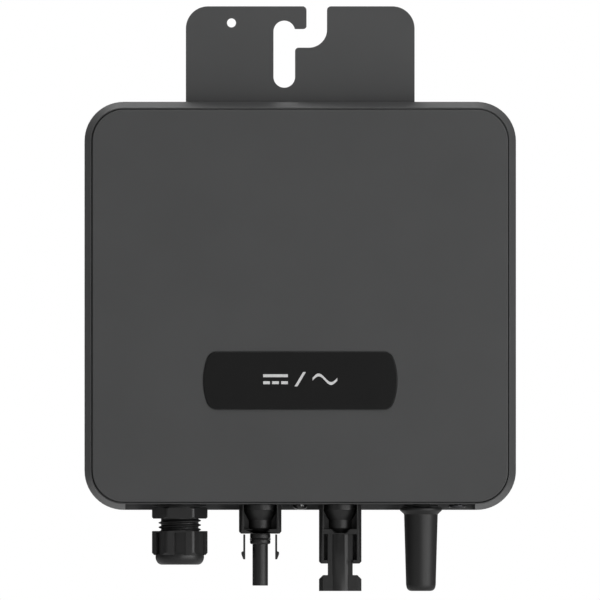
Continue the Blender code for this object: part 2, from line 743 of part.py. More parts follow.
def make_plug_nut(name, x):
    bm = bmesh.new()
    add_hexagon(bm, CAVITY_LOW + GAP + 3.5, CAVITY_LOW + GAP, PLUG_NUT_CORNERS)
    nut = solid(name, bm, BRASS, (x, PORT_Y, 0))
    bore = bmesh.new()
    add_rod(bore, (0, 0, 0), (0, 0, 20), PLUG_THREAD + GAP, 24)
    boolean(nut, solid("cut_" + name, bore, None, (x, PORT_Y, 0)), "DIFFERENCE")


def make_socket_connector():
    """The half with the long nose and the two sprung arms."""
    at = (SOCKET_X, PORT_Y, 0)
    bm = bmesh.new()
    plug_block(bm, LAND - GAP, BAR_BOTTOM, PLUG_HALF_DEPTH, PLUG_CHAMFER, BAR_BOTTOM)
    body = solid("socket_body", bm, PLUG_PLASTIC, at)
    cut_windows(body, "cut_socket_windows", at, ((-0.3, BAR_TOP),))
    core = plug_neck() + [(4.55, BAR_BOTTOM - 0.3), (4.55, -12.1), (3.4, -12.1),
                          (3.4, -13.9), (4.55, -13.9), (4.55, -14.7),
                          (4.05, -15.2), (3.45, -15.2), (3.45, -33.5), (3.25, -33.7),
                          (0, -33.7)]
    boolean(body, turned("add_socket_core", core, None, at, 24), "UNION")
    bore = bmesh.new()
    add_rod(bore, (0, 0, 20), (0, 0, -40), 2.6, 20)
    boolean(body, solid("cut_socket_bore", bore, None, at), "DIFFERENCE")
    turned("socket_contact", [(0, 16.0), (2.0, 16.0), (2.3, 15.5), (2.3, -31.0), (1.8, -31.0),
                              (1.8, -14.0), (0, -14.0)], TINNED_COPPER, at, SMALL_STEPS)
    ring = []
    for index in range(8):
        angle = -2 * pi * index / 8
        ring.append((4.25 + 0.52 * cos(angle), -13.0 + 0.52 * sin(angle)))
    turned("socket_o_ring", ring, RUBBER, at, 24)
    make_plug_nut("socket_nut", SOCKET_X)


def make_latches():
    """Sprung arms; each has its origin at its root, where it bends."""
    for side, name in ((-1, "socket_latch_left"), (1, "socket_latch_right")):
        half = LATCH_THICKNESS / 2
        barb = half + LATCH_BARB
        outline = [(-half, 0.0), (half, 0.0), (half, -7.2), (barb, -7.9), (barb, -9.2),
                   (half, -10.2), (half, -LATCH_LENGTH), (-half, -LATCH_LENGTH)]
        bm = bmesh.new()
        verts = [bm.verts.new((side * x * MM, -LATCH_WIDTH / 2 * MM, z * MM)) for x, z in outline]
        face = bm.faces.new(verts)
        grown = bmesh.ops.extrude_face_region(bm, geom=[face])["geom"]
        moved = [item for item in grown if isinstance(item, bmesh.types.BMVert)]
        bmesh.ops.translate(bm, verts=moved, vec=(0, LATCH_WIDTH * MM, 0))
        root = (SOCKET_X + side * LATCH_X, PORT_Y, BAR_BOTTOM - GAP)
        solid(name, bm, PLUG_PLASTIC, root)


def pin_column(at):
    """Flat-sided column round the pin, whose front and back bulge over the barrel."""
    half_chord = sqrt(COLUMN_BULGE ** 2 - COLUMN_HALF_DEPTH ** 2)
    swing = degrees(asin(half_chord / COLUMN_BULGE))
    back = [(COLUMN_HALF_WIDTH, COLUMN_HALF_DEPTH)]
    back += arc((0, 0), COLUMN_BULGE, 90 - swing, 90 + swing, 6)
    back.append((-COLUMN_HALF_WIDTH, COLUMN_HALF_DEPTH))
    outline = back + [(-x, -y) for x, y in back]
    bm = bmesh.new()
    low = PIN_END * MM
    face = bm.faces.new([bm.verts.new((x * MM, y * MM, low)) for x, y in outline])
    grown = bmesh.ops.extrude_face_region(bm, geom=[face])["geom"]
    moved = [item for item in grown if isinstance(item, bmesh.types.BMVert)]
    bmesh.ops.translate(bm, verts=moved, vec=(0, 0, (BAR_BOTTOM - PIN_END) * MM))
    return solid("add_pin_column", bm, None, at)


def make_pin_connector():
    """The half with the hollow barrel, whose side notches take the arms of a plug."""
    at = (PIN_X, PORT_Y, 0)
    bm = bmesh.new()
    plug_block(bm, LAND - GAP, NOTCH_TOP, PLUG_HALF_DEPTH, PLUG_CHAMFER, NOTCH_TOP)
    plug_block(bm, NOTCH_BOTTOM, PIN_END, COLUMN_HALF_DEPTH, 1.8, NOTCH_BOTTOM)
    body = solid("pin_body", bm, PLUG_PLASTIC, at)
    cut_windows(body, "cut_pin_windows", at, ((-0.3, BAR_TOP), (-10.8, -22.3)))
    core = plug_neck() + [(4.3, BAR_BOTTOM - 0.5), (0, BAR_BOTTOM - 0.5)]
    boolean(body, turned("add_pin_core", core, None, at, 24), "UNION")
    boolean(body, pin_column(at), "UNION")
    cavity = [(0, 20.0), (2.6, 20.0), (2.6, -13.0), (4.75, -13.0), (4.75, -35.6), (5.25, -36.2),
              (5.25, -40.0), (0, -40.0)]
    boolean(body, turned("cut_pin_cavity", cavity, None, at, 24), "DIFFERENCE")
    turned("pin_contact", [(0, 16.0), (2.0, 16.0), (2.3, 15.5), (2.3, -12.0), (1.7, -13.5),
                           (1.7, -27.5), (0.7, -29.0), (0, -29.0)], TINNED_COPPER, at,
           SMALL_STEPS)
    make_plug_nut("pin_nut", PIN_X)


# ---------------------------------------------------------------- antenna, lens, earth

def make_antenna():
    at = (ANTENNA_X, PORT_Y, 0)
    top = LAND - GAP
    turned("antenna_seal", [(7.75, top), (7.75, 1.5), (4.4, 1.5), (4.4, top)], RUBBER, at)
    hollow = [(0, -33.0), (2.4, -33.0), (2.4, 14.0)]
    outside = [(3.2, 14.0), (4.0, 13.5), (4.0, 1.2), (8.8, 1.2), (9.35, 0.6), (9.35, -0.2),
               (7.5, -1.9), (7.1, -16.0), (6.6, -33.8), (6.2, -35.2), (4.9, -36.1),
               (0, -36.1)]
    turned("antenna_radome", hollow + outside, RADOME_PLASTIC, at)
    turned("antenna_rod", [(0, 15.0), (1.2, 15.0), (1.2, -30.0), (0, -30.0)], BRASS, at,
           SMALL_STEPS)
    bm = bmesh.new()
    add_hexagon(bm, CAVITY_LOW + GAP + 3.0, CAVITY_LOW + GAP, 7.0)
    nut = solid("antenna_nut", bm, BRASS, at)
    bore = bmesh.new()
    add_rod(bore, (0, 0, 0), (0, 0, 20), 4.3, 20)
    boolean(nut, solid("cut_antenna_nut", bore, None, at), "DIFFERENCE")


def make_status_lens():
    at = (0, PORT_Y, 0)
    top = LAND - GAP
    turned("status_lens", [(0, 9.0), (1.9, 9.0), (1.9, top), (3.1, top), (3.0, 1.2),
                           (2.3, 0.4), (1.2, 0.05), (0, 0.0)], LENS, at, 24)


def make_earth_screw():
    at = (EARTH_X, PORT_Y, 0)
    top = LAND - GAP
    turned("earth_screw", [(0, 10.0), (1.7, 10.0), (1.7, top), (3.7, top), (3.7, 1.6),
                           (3.2, 0.9), (1.6, 0.9), (1.6, 1.5), (0, 1.5)], BLACK_STEEL, at, 24)


# ---------------------------------------------------------------- electronics

def block(name, center, size, material):
    """A box-shaped component that stands on the board; center is (x, height)."""
    x, height = center
    width, tall, proud = size
    bm = bmesh.new()
    add_box(bm, (x - width / 2, SEAT - proud, height - tall / 2),
            (x + width / 2, SEAT, height + tall / 2))
    return solid(name, bm, material)


def make_board():
    bm = bmesh.new()
    add_slab(bm, (-BOARD_HALF_WIDTH, BOARD_FRONT, BOARD_LOW),
             (BOARD_HALF_WIDTH, BOARD_BACK, BOARD_HIGH), 3, 3)
    board = solid("main_board", bm, BOARD_RESIST)
    holes = bmesh.new()
    for x, height in BOARD_SCREWS:
        add_rod(holes, (x, 0, height), (x, -20, height), 1.6, SMALL_STEPS)
    boolean(board, solid("cut_board_holes", holes), "DIFFERENCE")
    for number, (x, height) in enumerate(BOARD_SCREWS, 1):
        name = "board_screw_%d" % number
        bm = bmesh.new()
        add_rod(bm, (0, SEAT, 0), (0, SEAT - 1.6, 0), 2.8, SMALL_STEPS)
        item = solid(name, bm, STEEL, (x, 0, height))
        stem = bmesh.new()
        add_rod(stem, (0, SEAT - 0.5, 0), (0, CAVITY_BACK - 1.4, 0), 1.3, SMALL_STEPS)
        smooth(boolean(item, solid("add_stem_" + name, stem, None, (x, 0, height)), "UNION"))
    pad = bmesh.new()
    add_box(pad, (-30, BOARD_BACK + GAP, 118), (30, CAVITY_BACK - GAP - 2.6, 154))
    solid("heat_pad", pad, PAD)


def make_transformer(x, height):
    """Ferrite core with two windows, and the winding round its middle leg."""
    at = (x, SEAT - 9.2, height)
    bm = bmesh.new()
    add_box(bm, (-20, -5.5, -17), (20, 5.5, 17))
    core = solid("transformer_core", bm, FERRITE, at)
    windows = bmesh.new()
    for side in (-1, 1):
        ends = sorted((side * 6.5, side * 14.5))
        add_box(windows, (ends[0], -9, -11), (ends[1], 9, 11))
    boolean(core, solid("cut_core_windows", windows, None, at), "DIFFERENCE")
    bm = bmesh.new()
    add_box(bm, (-14.1, -9.2, -10.6), (14.1, 9.2, 10.6))
    winding = solid("transformer_winding", bm, COPPER_WINDING, at)
    hole = bmesh.new()
    add_box(hole, (-6.9, -5.9, -12), (6.9, 5.9, 12))
    boolean(winding, solid("cut_winding", hole, None, at), "DIFFERENCE")


def make_capacitors():
    for number in range(4):
        bm = bmesh.new()
        x = -34 + 20 * number
        add_rod(bm, (0, SEAT, 0), (0, SEAT - 17, 0), 8, 24)
        smooth(solid("input_capacitor_%d" % (number + 1), bm, CAN, (x, 0, 46)))
    block("film_capacitor", (60, 48), (26, 15, 16), FILM_CASE)


def make_choke(x, height):
    bm = bmesh.new()
    add_rod(bm, (0, SEAT, 0), (0, SEAT - 13, 0), 15, 24)
    choke = solid("output_choke", bm, COPPER_WINDING, (x, 0, height))
    hole = bmesh.new()
    add_rod(hole, (0, 0, 0), (0, -40, 0), 6.5, 24)
    smooth(boolean(choke, solid("cut_choke", hole, None, (x, 0, height)), "DIFFERENCE"))


def make_control_board():
    """A small plug-in board on its header."""
    x, height = 52, 146
    board = block("control_board", (x, height), (6, 40, 7.5), MODULE_RESIST)
    bm = bmesh.new()
    add_box(bm, (x - 23, SEAT - 8.5, height - 14), (x + 23, SEAT - 7.2, height + 14))
    boolean(board, solid("add_module_plate", bm), "UNION")


def make_components():
    make_transformer(-40, 92)
    make_capacitors()
    make_choke(54, 98)
    make_control_board()
    block("relay", (14, 94), (20, 24, 15), RELAY_CASE)
    block("fuse", (-62, 52), (10, 26, 9), FUSE_CASE)
    block("power_switch_1", (-16, 136), (10, 14, 5), EPOXY)
    block("power_switch_2", (8, 136), (10, 14, 5), EPOXY)
    block("ac_terminal", (-54, 30), (22, 10, 11), GREEN_BLOCK)


def make_leads():
    front = SEAT - 1.9
    for name, x, material in (("dc_lead_minus", SOCKET_X, BLACK_LEAD),
                              ("dc_lead_plus", PIN_X, RED_LEAD)):
        wire(name, ((x, PORT_Y, 16.4), (x, PORT_Y, 20), (x, PORT_Y + 2.4, 25),
                    (x, front, 29), (x, front, 33)), 1.6, material)
    wire("antenna_lead", ((ANTENNA_X, PORT_Y, 15.4), (ANTENNA_X, PORT_Y - 3, 22),
                          (ANTENNA_X + 20, -28.5, 36), (ANTENNA_X + 23, -28, 70),
                          (ANTENNA_X + 22, -26, 110), (ANTENNA_X + 12, -23, 136),
                          (ANTENNA_X + 10, -21.4, 146)), 0.7, COAX_JACKET)


def make_all():
    make_shell()
    make_cover()
    make_cover_gasket()
    make_cover_screws()
    make_bracket()
    make_bracket_screws()
    make_gland_body()
    make_gland_seals()
    make_gland_nuts()
    make_socket_connector()
    make_latches()
    make_pin_connector()
    make_antenna()
    make_status_lens()
    make_earth_screw()
    make_board()
    make_components()
    make_leads()


make_all()
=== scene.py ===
# %% [markdown]
# # A micro inverter, modelled piece by piece
#
# A micro inverter hangs behind one solar module and turns its direct current into mains
# current.  This one is a flat die-cast box with a raised front cover, a slotted bracket,
# and a row of black connectors under its lower edge.  The frame below holds the solid
# design: every size and place here is read from it, so each detailed piece lands where
# its plain solid stands and rides on the same body.

# %% Load the frame
from math import cos, hypot, pi, radians, sin, sqrt

import bmesh
import bpy
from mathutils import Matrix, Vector


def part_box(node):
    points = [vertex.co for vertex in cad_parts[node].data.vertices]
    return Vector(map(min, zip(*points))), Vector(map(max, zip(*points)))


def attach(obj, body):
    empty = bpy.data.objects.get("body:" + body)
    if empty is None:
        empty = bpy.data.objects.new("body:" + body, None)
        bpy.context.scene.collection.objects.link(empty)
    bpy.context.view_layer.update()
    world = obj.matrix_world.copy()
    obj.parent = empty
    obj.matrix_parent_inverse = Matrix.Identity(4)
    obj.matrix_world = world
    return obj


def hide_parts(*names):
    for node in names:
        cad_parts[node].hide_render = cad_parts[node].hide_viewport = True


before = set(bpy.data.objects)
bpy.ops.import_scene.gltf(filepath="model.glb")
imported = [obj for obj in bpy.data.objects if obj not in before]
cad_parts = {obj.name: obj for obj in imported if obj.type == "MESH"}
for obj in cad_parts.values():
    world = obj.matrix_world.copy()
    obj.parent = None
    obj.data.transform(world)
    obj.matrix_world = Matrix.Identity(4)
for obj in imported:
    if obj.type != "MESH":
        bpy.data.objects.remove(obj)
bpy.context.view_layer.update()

print("CAD nodes:", len(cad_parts))

# %% [markdown]
# ## Working sizes
#
# Blender works in metres, and the details of a casting are tenths of a millimetre, so
# sizes are written in millimetres and multiplied by MM.  The large sizes come from the
# boxes of the CAD nodes.  Each name says which face or axis of the object it is.

# %% Sizes from the frame
MM = 0.001

shell_low, shell_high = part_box("main_shell")
badge_low, badge_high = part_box("badge")
seal_low, seal_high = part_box("gland_seal")

body_bottom = shell_low.z
port_y = (seal_low.y + seal_high.y) / 2
print("body", [round(size / MM, 1) for size in shell_high - shell_low], "mm")


# %% [markdown]
# ## Helpers for modelling by operators
#
# Every piece starts as a primitive and is shaped in edit mode.  An operator acts on all
# that is selected, and a freshly loaded frame is selected, so each step begins with a
# clean selection.  Parts of a mesh are then chosen in code, by their place or direction.

# %% Selecting and settling
def only(piece):
    """Leave edit mode and make one object the only selected and active one."""
    if bpy.context.mode != "OBJECT":
        bpy.ops.object.mode_set(mode="OBJECT")
    bpy.ops.object.select_all(action="DESELECT")
    if piece is not None:
        piece.select_set(True)
        bpy.context.view_layer.objects.active = piece


def settle(piece, name):
    """Name a new primitive and write its place, turn and scale into its mesh."""
    piece.name = name
    piece.data.name = name
    only(piece)
    bpy.ops.object.transform_apply(location=True, rotation=True, scale=True)
    return piece


def edit(piece, kind):
    """Open edit mode with nothing selected; kind is VERT, EDGE or FACE."""
    only(piece)
    bpy.ops.object.mode_set(mode="EDIT")
    bpy.ops.mesh.select_mode(type=kind)
    bpy.ops.mesh.select_all(action="DESELECT")


def close():
    bpy.ops.object.mode_set(mode="OBJECT")


def select_everything():
    bpy.ops.mesh.select_all(action="SELECT")


def pick_edges(piece, test):
    """Select the edges whose middle point and direction pass a test."""
    mesh = bmesh.from_edit_mesh(piece.data)
    count = 0
    for edge in mesh.edges:
        start, end = (vert.co for vert in edge.verts)
        if test((start + end) / 2, (end - start).normalized()):
            edge.select_set(True)
            count += 1
    bmesh.update_edit_mesh(piece.data)
    return count


def pick_faces(piece, test):
    """Select the faces whose centre and normal pass a test."""
    mesh = bmesh.from_edit_mesh(piece.data)
    count = 0
    for face in mesh.faces:
        if test(face.calc_center_median(), face.normal):
            face.select_set(True)
            count += 1
    bmesh.update_edit_mesh(piece.data)
    return count


def slice_across(piece, axis, places):
    """Divide the faces of a piece by planes across an axis, at places in metres."""
    normal = [0, 0, 0]
    normal[axis] = 1
    edit(piece, "FACE")
    for place in places:
        select_everything()
        bpy.ops.mesh.bisect(plane_co=[place * way for way in normal], plane_no=normal)
    close()


def near(value, target, margin=0.02 * MM):
    return abs(value - target) < margin


def bevel_edges(piece, offset, segments, test):
    """Round the edges that pass a test, and say how many they were."""
    edit(piece, "EDGE")
    count = pick_edges(piece, test)
    bpy.ops.mesh.bevel(offset=offset, segments=segments, affect="EDGES")
    close()
    return count


# %% [markdown]
# Three starting shapes cover nearly everything here: a block, a block with rounded
# corners, and a turned piece.  The turned piece could be a spun profile.  Extruding a
# round face again and again, up or down and wider or narrower, gives the same rings with
# both ends already closed, and reads like a list of diameters on a drawing.

# %% Starting shapes
def add_block(name, low, high):
    low, high = Vector(low), Vector(high)
    only(None)
    bpy.ops.mesh.primitive_cube_add(size=1, location=(low + high) / 2, scale=high - low)
    return settle(bpy.context.object, name)


def add_slab(name, low, high, radius, steps=14):
    """A block whose four edges along Y are rounded, like a thick plate seen from the front."""
    slab = add_block(name, low, high)
    bevel_edges(slab, radius, steps, lambda middle, way: abs(way.y) > 0.9)
    return slab


def add_turned(name, centre, rings, steps=64, along_y=False, twist=0.0):
    """A closed turned piece from (radius, place) rings in mm.  It stands on a vertical
    axis and a place is a height above the lower edge of the body, or it lies along Y
    and a place is a depth.  A few steps and a twist make a hexagon bar."""
    axis = 1 if along_y else 2
    origin = Vector(centre)
    level = 0.0 if along_y else body_bottom

    def middle(place):
        point = origin.copy()
        point[axis] = level + place * MM
        return point

    radius, place = rings[0]
    only(None)
    bpy.ops.mesh.primitive_circle_add(
        vertices=steps, radius=radius * MM, fill_type="NGON", location=middle(place),
        rotation=(pi / 2, 0, 0) if along_y else (0, 0, radians(twist)))
    piece = settle(bpy.context.object, name)
    edit(piece, "FACE")
    select_everything()
    for next_radius, next_place in rings[1:]:
        step = Vector((0, 0, 0))
        step[axis] = (next_place - place) * MM
        bpy.ops.mesh.extrude_region_move(TRANSFORM_OT_translate={"value": step})
        scale = [next_radius / radius] * 3
        scale[axis] = 1.0
        bpy.ops.transform.resize(value=scale, center_override=middle(next_place))
        radius, place = next_radius, next_place
    select_everything()
    bpy.ops.mesh.normals_make_consistent(inside=False)
    close()
    return piece


# %% [markdown]
# Boolean cuts take a tool away from a piece, and Bevel then rounds the sharp edges that
# the cuts leave.  No real edge is perfectly sharp, and the thin highlight along a small
# rounding is what makes a casting look cast.  Weighted Normal keeps the large flat faces
# flat in the shading beside those roundings.

# %% Cutting and finishing
def apply_modifier(piece, modifier):
    only(piece)
    bpy.ops.object.modifier_apply(modifier=modifier.name)


def combine(piece, tool, operation):
    """Cut, join or intersect a piece with a tool, and remove the tool."""
    modifier = piece.modifiers.new("combine", "BOOLEAN")
    modifier.operation = operation
    modifier.object = tool
    modifier.solver = "EXACT"
    apply_modifier(piece, modifier)
    bpy.data.objects.remove(tool, do_unlink=True)
    return piece


def cut(piece, tool):
    return combine(piece, tool, "DIFFERENCE")


def join(piece, tool):
    return combine(piece, tool, "UNION")


def soften(piece, width=0, steps=3, angle=32, crease=40):
    """Round edges sharper than an angle, by mm, and shade smooth up to a crease angle."""
    if width > 0:
        bevel = piece.modifiers.new("soften", "BEVEL")
        bevel.width = width * MM
        bevel.segments = steps
        bevel.limit_method = "ANGLE"
        bevel.angle_limit = radians(angle)
        bevel.miter_outer = "MITER_ARC"
        apply_modifier(piece, bevel)
    only(piece)
    bpy.ops.object.shade_smooth_by_angle(angle=radians(crease))
    weighted = piece.modifiers.new("weighted", "WEIGHTED_NORMAL")
    weighted.keep_sharp = True
    weighted.weight = 80
    apply_modifier(piece, weighted)
    return piece


def copy_of(piece, name, move=(0, 0, 0)):
    """A copy with its own mesh, moved by writing the move into the mesh."""
    only(piece)
    bpy.ops.object.duplicate(linked=False)
    twin = bpy.context.object
    twin.location = Vector(move)
    return settle(twin, name)


def open_edges(piece):
    """Edges that don't have exactly two faces; a closed piece has none."""
    mesh = bmesh.new()
    mesh.from_mesh(piece.data)
    count = sum(1 for edge in mesh.edges if len(edge.link_faces) != 2)
    mesh.free()
    return count


def dress(piece, material, slot, *nodes, body="housing"):
    """Give a finished piece its material, its body and the nodes it stands for; slot is not
    used.
    """
    piece.data.materials.clear()
    piece.data.materials.append(material)
    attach(piece, body)
    if nodes:
        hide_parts(*nodes)
    print(piece.name, len(piece.data.polygons), "faces", open_edges(piece), "open edges")


# %% [markdown]
# ## Finishes
#
# Each finish is a Principled shader whose colour, roughness and bump vary a little, at
# the scale at which the real surface varies.  The patterns read Object coordinates, which
# are metres here, so a noise scale of 2000 gives grains of about half a millimetre.

# %% Material helpers
def new_finish(name, roughness=0.5, metallic=0.0, specular=0.5):
    material = bpy.data.materials.new(name)
    material.use_nodes = True
    shader = material.node_tree.nodes["Principled BSDF"]
    shader.inputs["Roughness"].default_value = roughness
    shader.inputs["Metallic"].default_value = metallic
    shader.inputs["Specular IOR Level"].default_value = specular
    return material


def add_node(material, kind, **inputs):
    """Add a node and set its input sockets by name; underscores stand for spaces."""
    node = material.node_tree.nodes.new(kind)
    for name, value in inputs.items():
        node.inputs[name.replace("_", " ")].default_value = value
    return node


def wire_up(material, source, target):
    material.node_tree.links.new(source, target)


def shader_of(material):
    return material.node_tree.nodes["Principled BSDF"]


def noise_on(material, scale, detail=2.0, stretch=None):
    """A noise in object space; stretch squeezes it along an axis, as brushing does."""
    coords = add_node(material, "ShaderNodeTexCoord")
    source = coords.outputs["Object"]
    if stretch is not None:
        mapping = add_node(material, "ShaderNodeMapping", Scale=stretch)
        wire_up(material, source, mapping.inputs["Vector"])
        source = mapping.outputs["Vector"]
    noise = add_node(material, "ShaderNodeTexNoise", Scale=scale, Detail=detail)
    wire_up(material, source, noise.inputs["Vector"])
    return noise


def ramp_on(material, factor, colors):
    """A ramp through (position, colour) stops, driven by a factor."""
    ramp = add_node(material, "ShaderNodeValToRGB")
    stops = ramp.color_ramp.elements
    while len(stops) < len(colors):
        stops.new(0.5)
    for stop, (position, color) in zip(stops, colors):
        stop.position = position
        stop.color = (*color, 1.0)
    wire_up(material, factor, ramp.inputs["Fac"])
    return ramp


def tint(material, factor, colors):
    """Colour the shader by a ramp."""
    ramp = ramp_on(material, factor, colors)
    wire_up(material, ramp.outputs["Color"], shader_of(material).inputs["Base Color"])


def rough(material, factor, low, high):
    """Let the roughness swing between two values."""
    span = add_node(material, "ShaderNodeMapRange", To_Min=low, To_Max=high)
    wire_up(material, factor, span.inputs["Value"])
    wire_up(material, span.outputs["Result"], shader_of(material).inputs["Roughness"])


def emboss(material, height, depth, strength=1.0):
    """Raise the surface by a pattern, to a depth in millimetres."""
    bump = add_node(material, "ShaderNodeBump", Strength=strength, Distance=depth * MM)
    wire_up(material, height, bump.inputs["Height"])
    wire_up(material, bump.outputs["Normal"], shader_of(material).inputs["Normal"])


def cloud_over(material, scale, detail, low_stop, high_stop):
    """Colour the shader by a broad noise between two (position, colour) stops."""
    cloud = noise_on(material, scale, detail)
    tint(material, cloud.outputs["Fac"], (low_stop, high_stop))
    return cloud


def grain_over(material, scale, detail, roughness, swing, depth, strength):
    """A fine noise that swings the roughness up and down and raises the surface."""
    grain = noise_on(material, scale, detail)
    rough(material, grain.outputs["Fac"], roughness - swing, roughness + swing)
    emboss(material, grain.outputs["Fac"], depth, strength)


def grey(level, warmth=0.0):
    """A linear grey, a touch warmer or cooler."""
    return (level * (1 + warmth), level, level * (1 - warmth))


# %% [markdown]
# ### Powder coat
#
# The casting, the cover and the bracket are sprayed with a dark grey polyester powder and
# baked.  The melted grains leave a very fine pebbled skin that scatters the light, so the
# surface reads as an even grey with a soft sheen.  Two noises make it: fine grains for the
# bump and the roughness, and a broad faint cloud for the uneven film thickness.

# %% Powder coat
def powder_coat(name, level, sheen_roughness):
    material = new_finish(name, sheen_roughness, 0.0, 0.35)
    cloud_over(material, 28.0, 3.0, (0.30, grey(level * 0.96, -0.01)),
               (0.70, grey(level * 1.04, -0.01)))
    grain_over(material, 2600.0, 2.0, sheen_roughness, 0.07, 0.02, 0.5)
    return material


shell_coat = powder_coat("shell_powder_coat", 0.072, 0.48)
cover_coat = powder_coat("cover_powder_coat", 0.062, 0.50)
bracket_coat = powder_coat("bracket_powder_coat", 0.074, 0.50)


# %% [markdown]
# ### Plastics and rubber
#
# The gland is moulded in polyamide, the connectors in a glass-filled plastic and the
# antenna cover in another.  All are black, but a mould leaves a fine spark-eroded texture
# on each, coarser on the gland.  Rubber is duller.  A base colour of about one hundredth
# keeps the blacks deep, so most of what shows on them is the gloss of the lamps.

# %% Plastics and rubber
def moulded(name, level, roughness, specular, grain_scale, depth):
    material = new_finish(name, roughness, 0.0, specular)
    cloud_over(material, 60.0, 3.0, (0.30, grey(level * 0.90)), (0.72, grey(level * 1.10)))
    grain_over(material, grain_scale, 2.0, roughness, 0.06, depth, 0.4)
    return material


nylon = moulded("black_nylon", 0.0110, 0.42, 0.48, 3000.0, 0.012)
connector_plastic = moulded("connector_plastic", 0.0110, 0.46, 0.46, 4000.0, 0.008)
radome_plastic = moulded("radome_plastic", 0.0110, 0.48, 0.45, 3400.0, 0.010)
rubber = moulded("black_rubber", 0.0110, 0.72, 0.25, 2200.0, 0.015)

# %% [markdown]
# ### Film, lens and print
#
# The badge is a black polyester film with a satin coat, laid into a recess of the cover.
# Its printed symbol is a pale grey ink.  The status lens is smoked acrylic: dark, smooth
# and a little see-through, so it takes some transmission.

# %% Film, ink and lens
badge_film = new_finish("badge_film", 0.30, 0.0, 0.32)
cloud_over(badge_film, 40.0, 2.0, (0.3, grey(0.0060)), (0.7, grey(0.0070)))
grain_over(badge_film, 5000.0, 1.0, 0.30, 0.04, 0.004, 0.3)

printed_ink = new_finish("printed_ink", 0.55, 0.0, 0.3)
cloud_over(printed_ink, 1500.0, 2.0, (0.2, grey(0.60)), (0.8, grey(0.70)))

smoked_lens = new_finish("smoked_lens", 0.12, 0.0, 0.5)
shader_of(smoked_lens).inputs["Transmission Weight"].default_value = 0.35
cloud_over(smoked_lens, 300.0, 1.0, (0.3, grey(0.020)), (0.7, grey(0.026)))


# %% [markdown]
# ### Metals
#
# The screws are turned stainless steel, the nuts of the connectors and the antenna are
# brass like the antenna's rod, the contacts are tinned copper, and the earth screw is
# blackened.  Turning and drawing leave marks in one direction, so the noise is squeezed
# along one axis.

# %% Metals
def metal(name, color, roughness, stretch, metallic=1.0):
    material = new_finish(name, roughness, metallic)
    marks = noise_on(material, 900.0, 3.0, stretch)
    dark = tuple(channel * 0.86 for channel in color)
    tint(material, marks.outputs["Fac"], ((0.3, dark), (0.7, color)))
    rough(material, marks.outputs["Fac"], roughness - 0.07, roughness + 0.07)
    emboss(material, marks.outputs["Fac"], 0.006, 0.4)
    return material


stainless = metal("stainless_steel", (0.56, 0.55, 0.53), 0.30, (1.0, 5.0, 1.0))
black_steel = metal("blackened_steel", (0.060, 0.060, 0.064), 0.36, (1.0, 1.0, 4.0), 0.85)
brass = metal("brass", (0.66, 0.46, 0.17), 0.28, (1.0, 1.0, 6.0))
tinned_copper = metal("tinned_copper", (0.62, 0.61, 0.58), 0.27, (1.0, 1.0, 0.2))

# %% [markdown]
# ## The casting
#
# The main shell is one aluminium casting.  From its straight rear flange it draws in
# towards the front by 2.6 mm a side, which is the draft that lets it leave the mould.
# A slab with rounded corners is extruded forward and tapered by one inset with a depth.
# The hollow, the seat of the cover, the land under the connectors and the screw holes
# are then cut, as a mould's cores and the drills after it would.

# %% Shell sizes
FLARE = 2.6
LIP = 0.45
SEAM = 0.45
CORNER = 17.4
SHELL_BACK = -2.8
FLANGE_FRONT = -6.8
shell_width = (shell_high.x - shell_low.x) / 2
shell_height = shell_high.z - shell_low.z
cover_screws = [(side * 86.0, height) for side in (-1, 1) for height in (18.0, 91.0, 164.0)]
bracket_screws = [(-38.0, 162.0), (38.0, 162.0), (-38.0, 110.0), (38.0, 110.0)]
board_screws = [(-74.0, 28.0), (74.0, 28.0), (-74.0, 166.0), (74.0, 166.0)]
GLAND_X, SOCKET_X, PIN_X, ANTENNA_X, LENS_X, EARTH_X = -53.6, -17.8, 17.8, 53.7, 0.0, 69.9
ports = [(GLAND_X, 9.7), (SOCKET_X, 6.2), (PIN_X, 6.2), (ANTENNA_X, 4.3), (LENS_X, 2.3),
         (EARTH_X, 2.1)]
print("half width of the shell", round(shell_width / MM, 2), "mm")


def spot(x, y, height):
    """A point from millimetres; heights count from the lower edge of the body."""
    return Vector((x * MM, y * MM, body_bottom + height * MM))


def port_centre(x):
    """The middle of the lower wall's row of ports, at an x in mm."""
    return Vector((x * MM, port_y, 0))


def inset_slab(name, inset, low_y, high_y, steps=14):
    """A slab whose outline is the body's outline drawn in by an inset, in mm."""
    half = shell_width / MM - inset
    tall = shell_height / MM - inset
    return add_slab(name, spot(-half, low_y, inset), spot(half, high_y, tall),
                    (CORNER - inset) * MM, steps)


# %% Tools that cut and add round holes
def add_rod(name, start, end, radius, steps=32):
    """A plain rod between two points along Y or Z, used to cut holes and add bosses."""
    start, end = spot(*start), spot(*end)
    turn = (pi / 2, 0, 0) if abs(end.y - start.y) > abs(end.z - start.z) else (0, 0, 0)
    only(None)
    bpy.ops.mesh.primitive_cylinder_add(vertices=steps, radius=radius * MM, rotation=turn,
                                        depth=(end - start).length,
                                        location=(start + end) / 2)
    return settle(bpy.context.object, name)


def rods_at(places, start, end, radius):
    """A rod at each (x, height) place, from one depth to another."""
    return [add_rod("rod", (x, start, height), (x, end, height), radius)
            for x, height in places]


def gather(tools, name):
    """Join several tools that don't touch into one object, so that one cut does all."""
    only(tools[0])
    for tool in tools:
        tool.select_set(True)
    bpy.ops.object.join()
    return settle(bpy.context.object, name)


# %% Shell body
shell = inset_slab("shell", 0.0, FLANGE_FRONT, SHELL_BACK)
bevel_edges(shell, 0.8 * MM, 4, lambda middle, way: near(middle.y, SHELL_BACK * MM))
edit(shell, "FACE")
pick_faces(shell, lambda centre, normal: normal.y < -0.9)
bpy.ops.mesh.inset(thickness=FLARE * MM, depth=26.2 * MM, use_even_offset=True)
close()
print("depth of the casting", round(shell.dimensions.y / MM, 2), "mm")

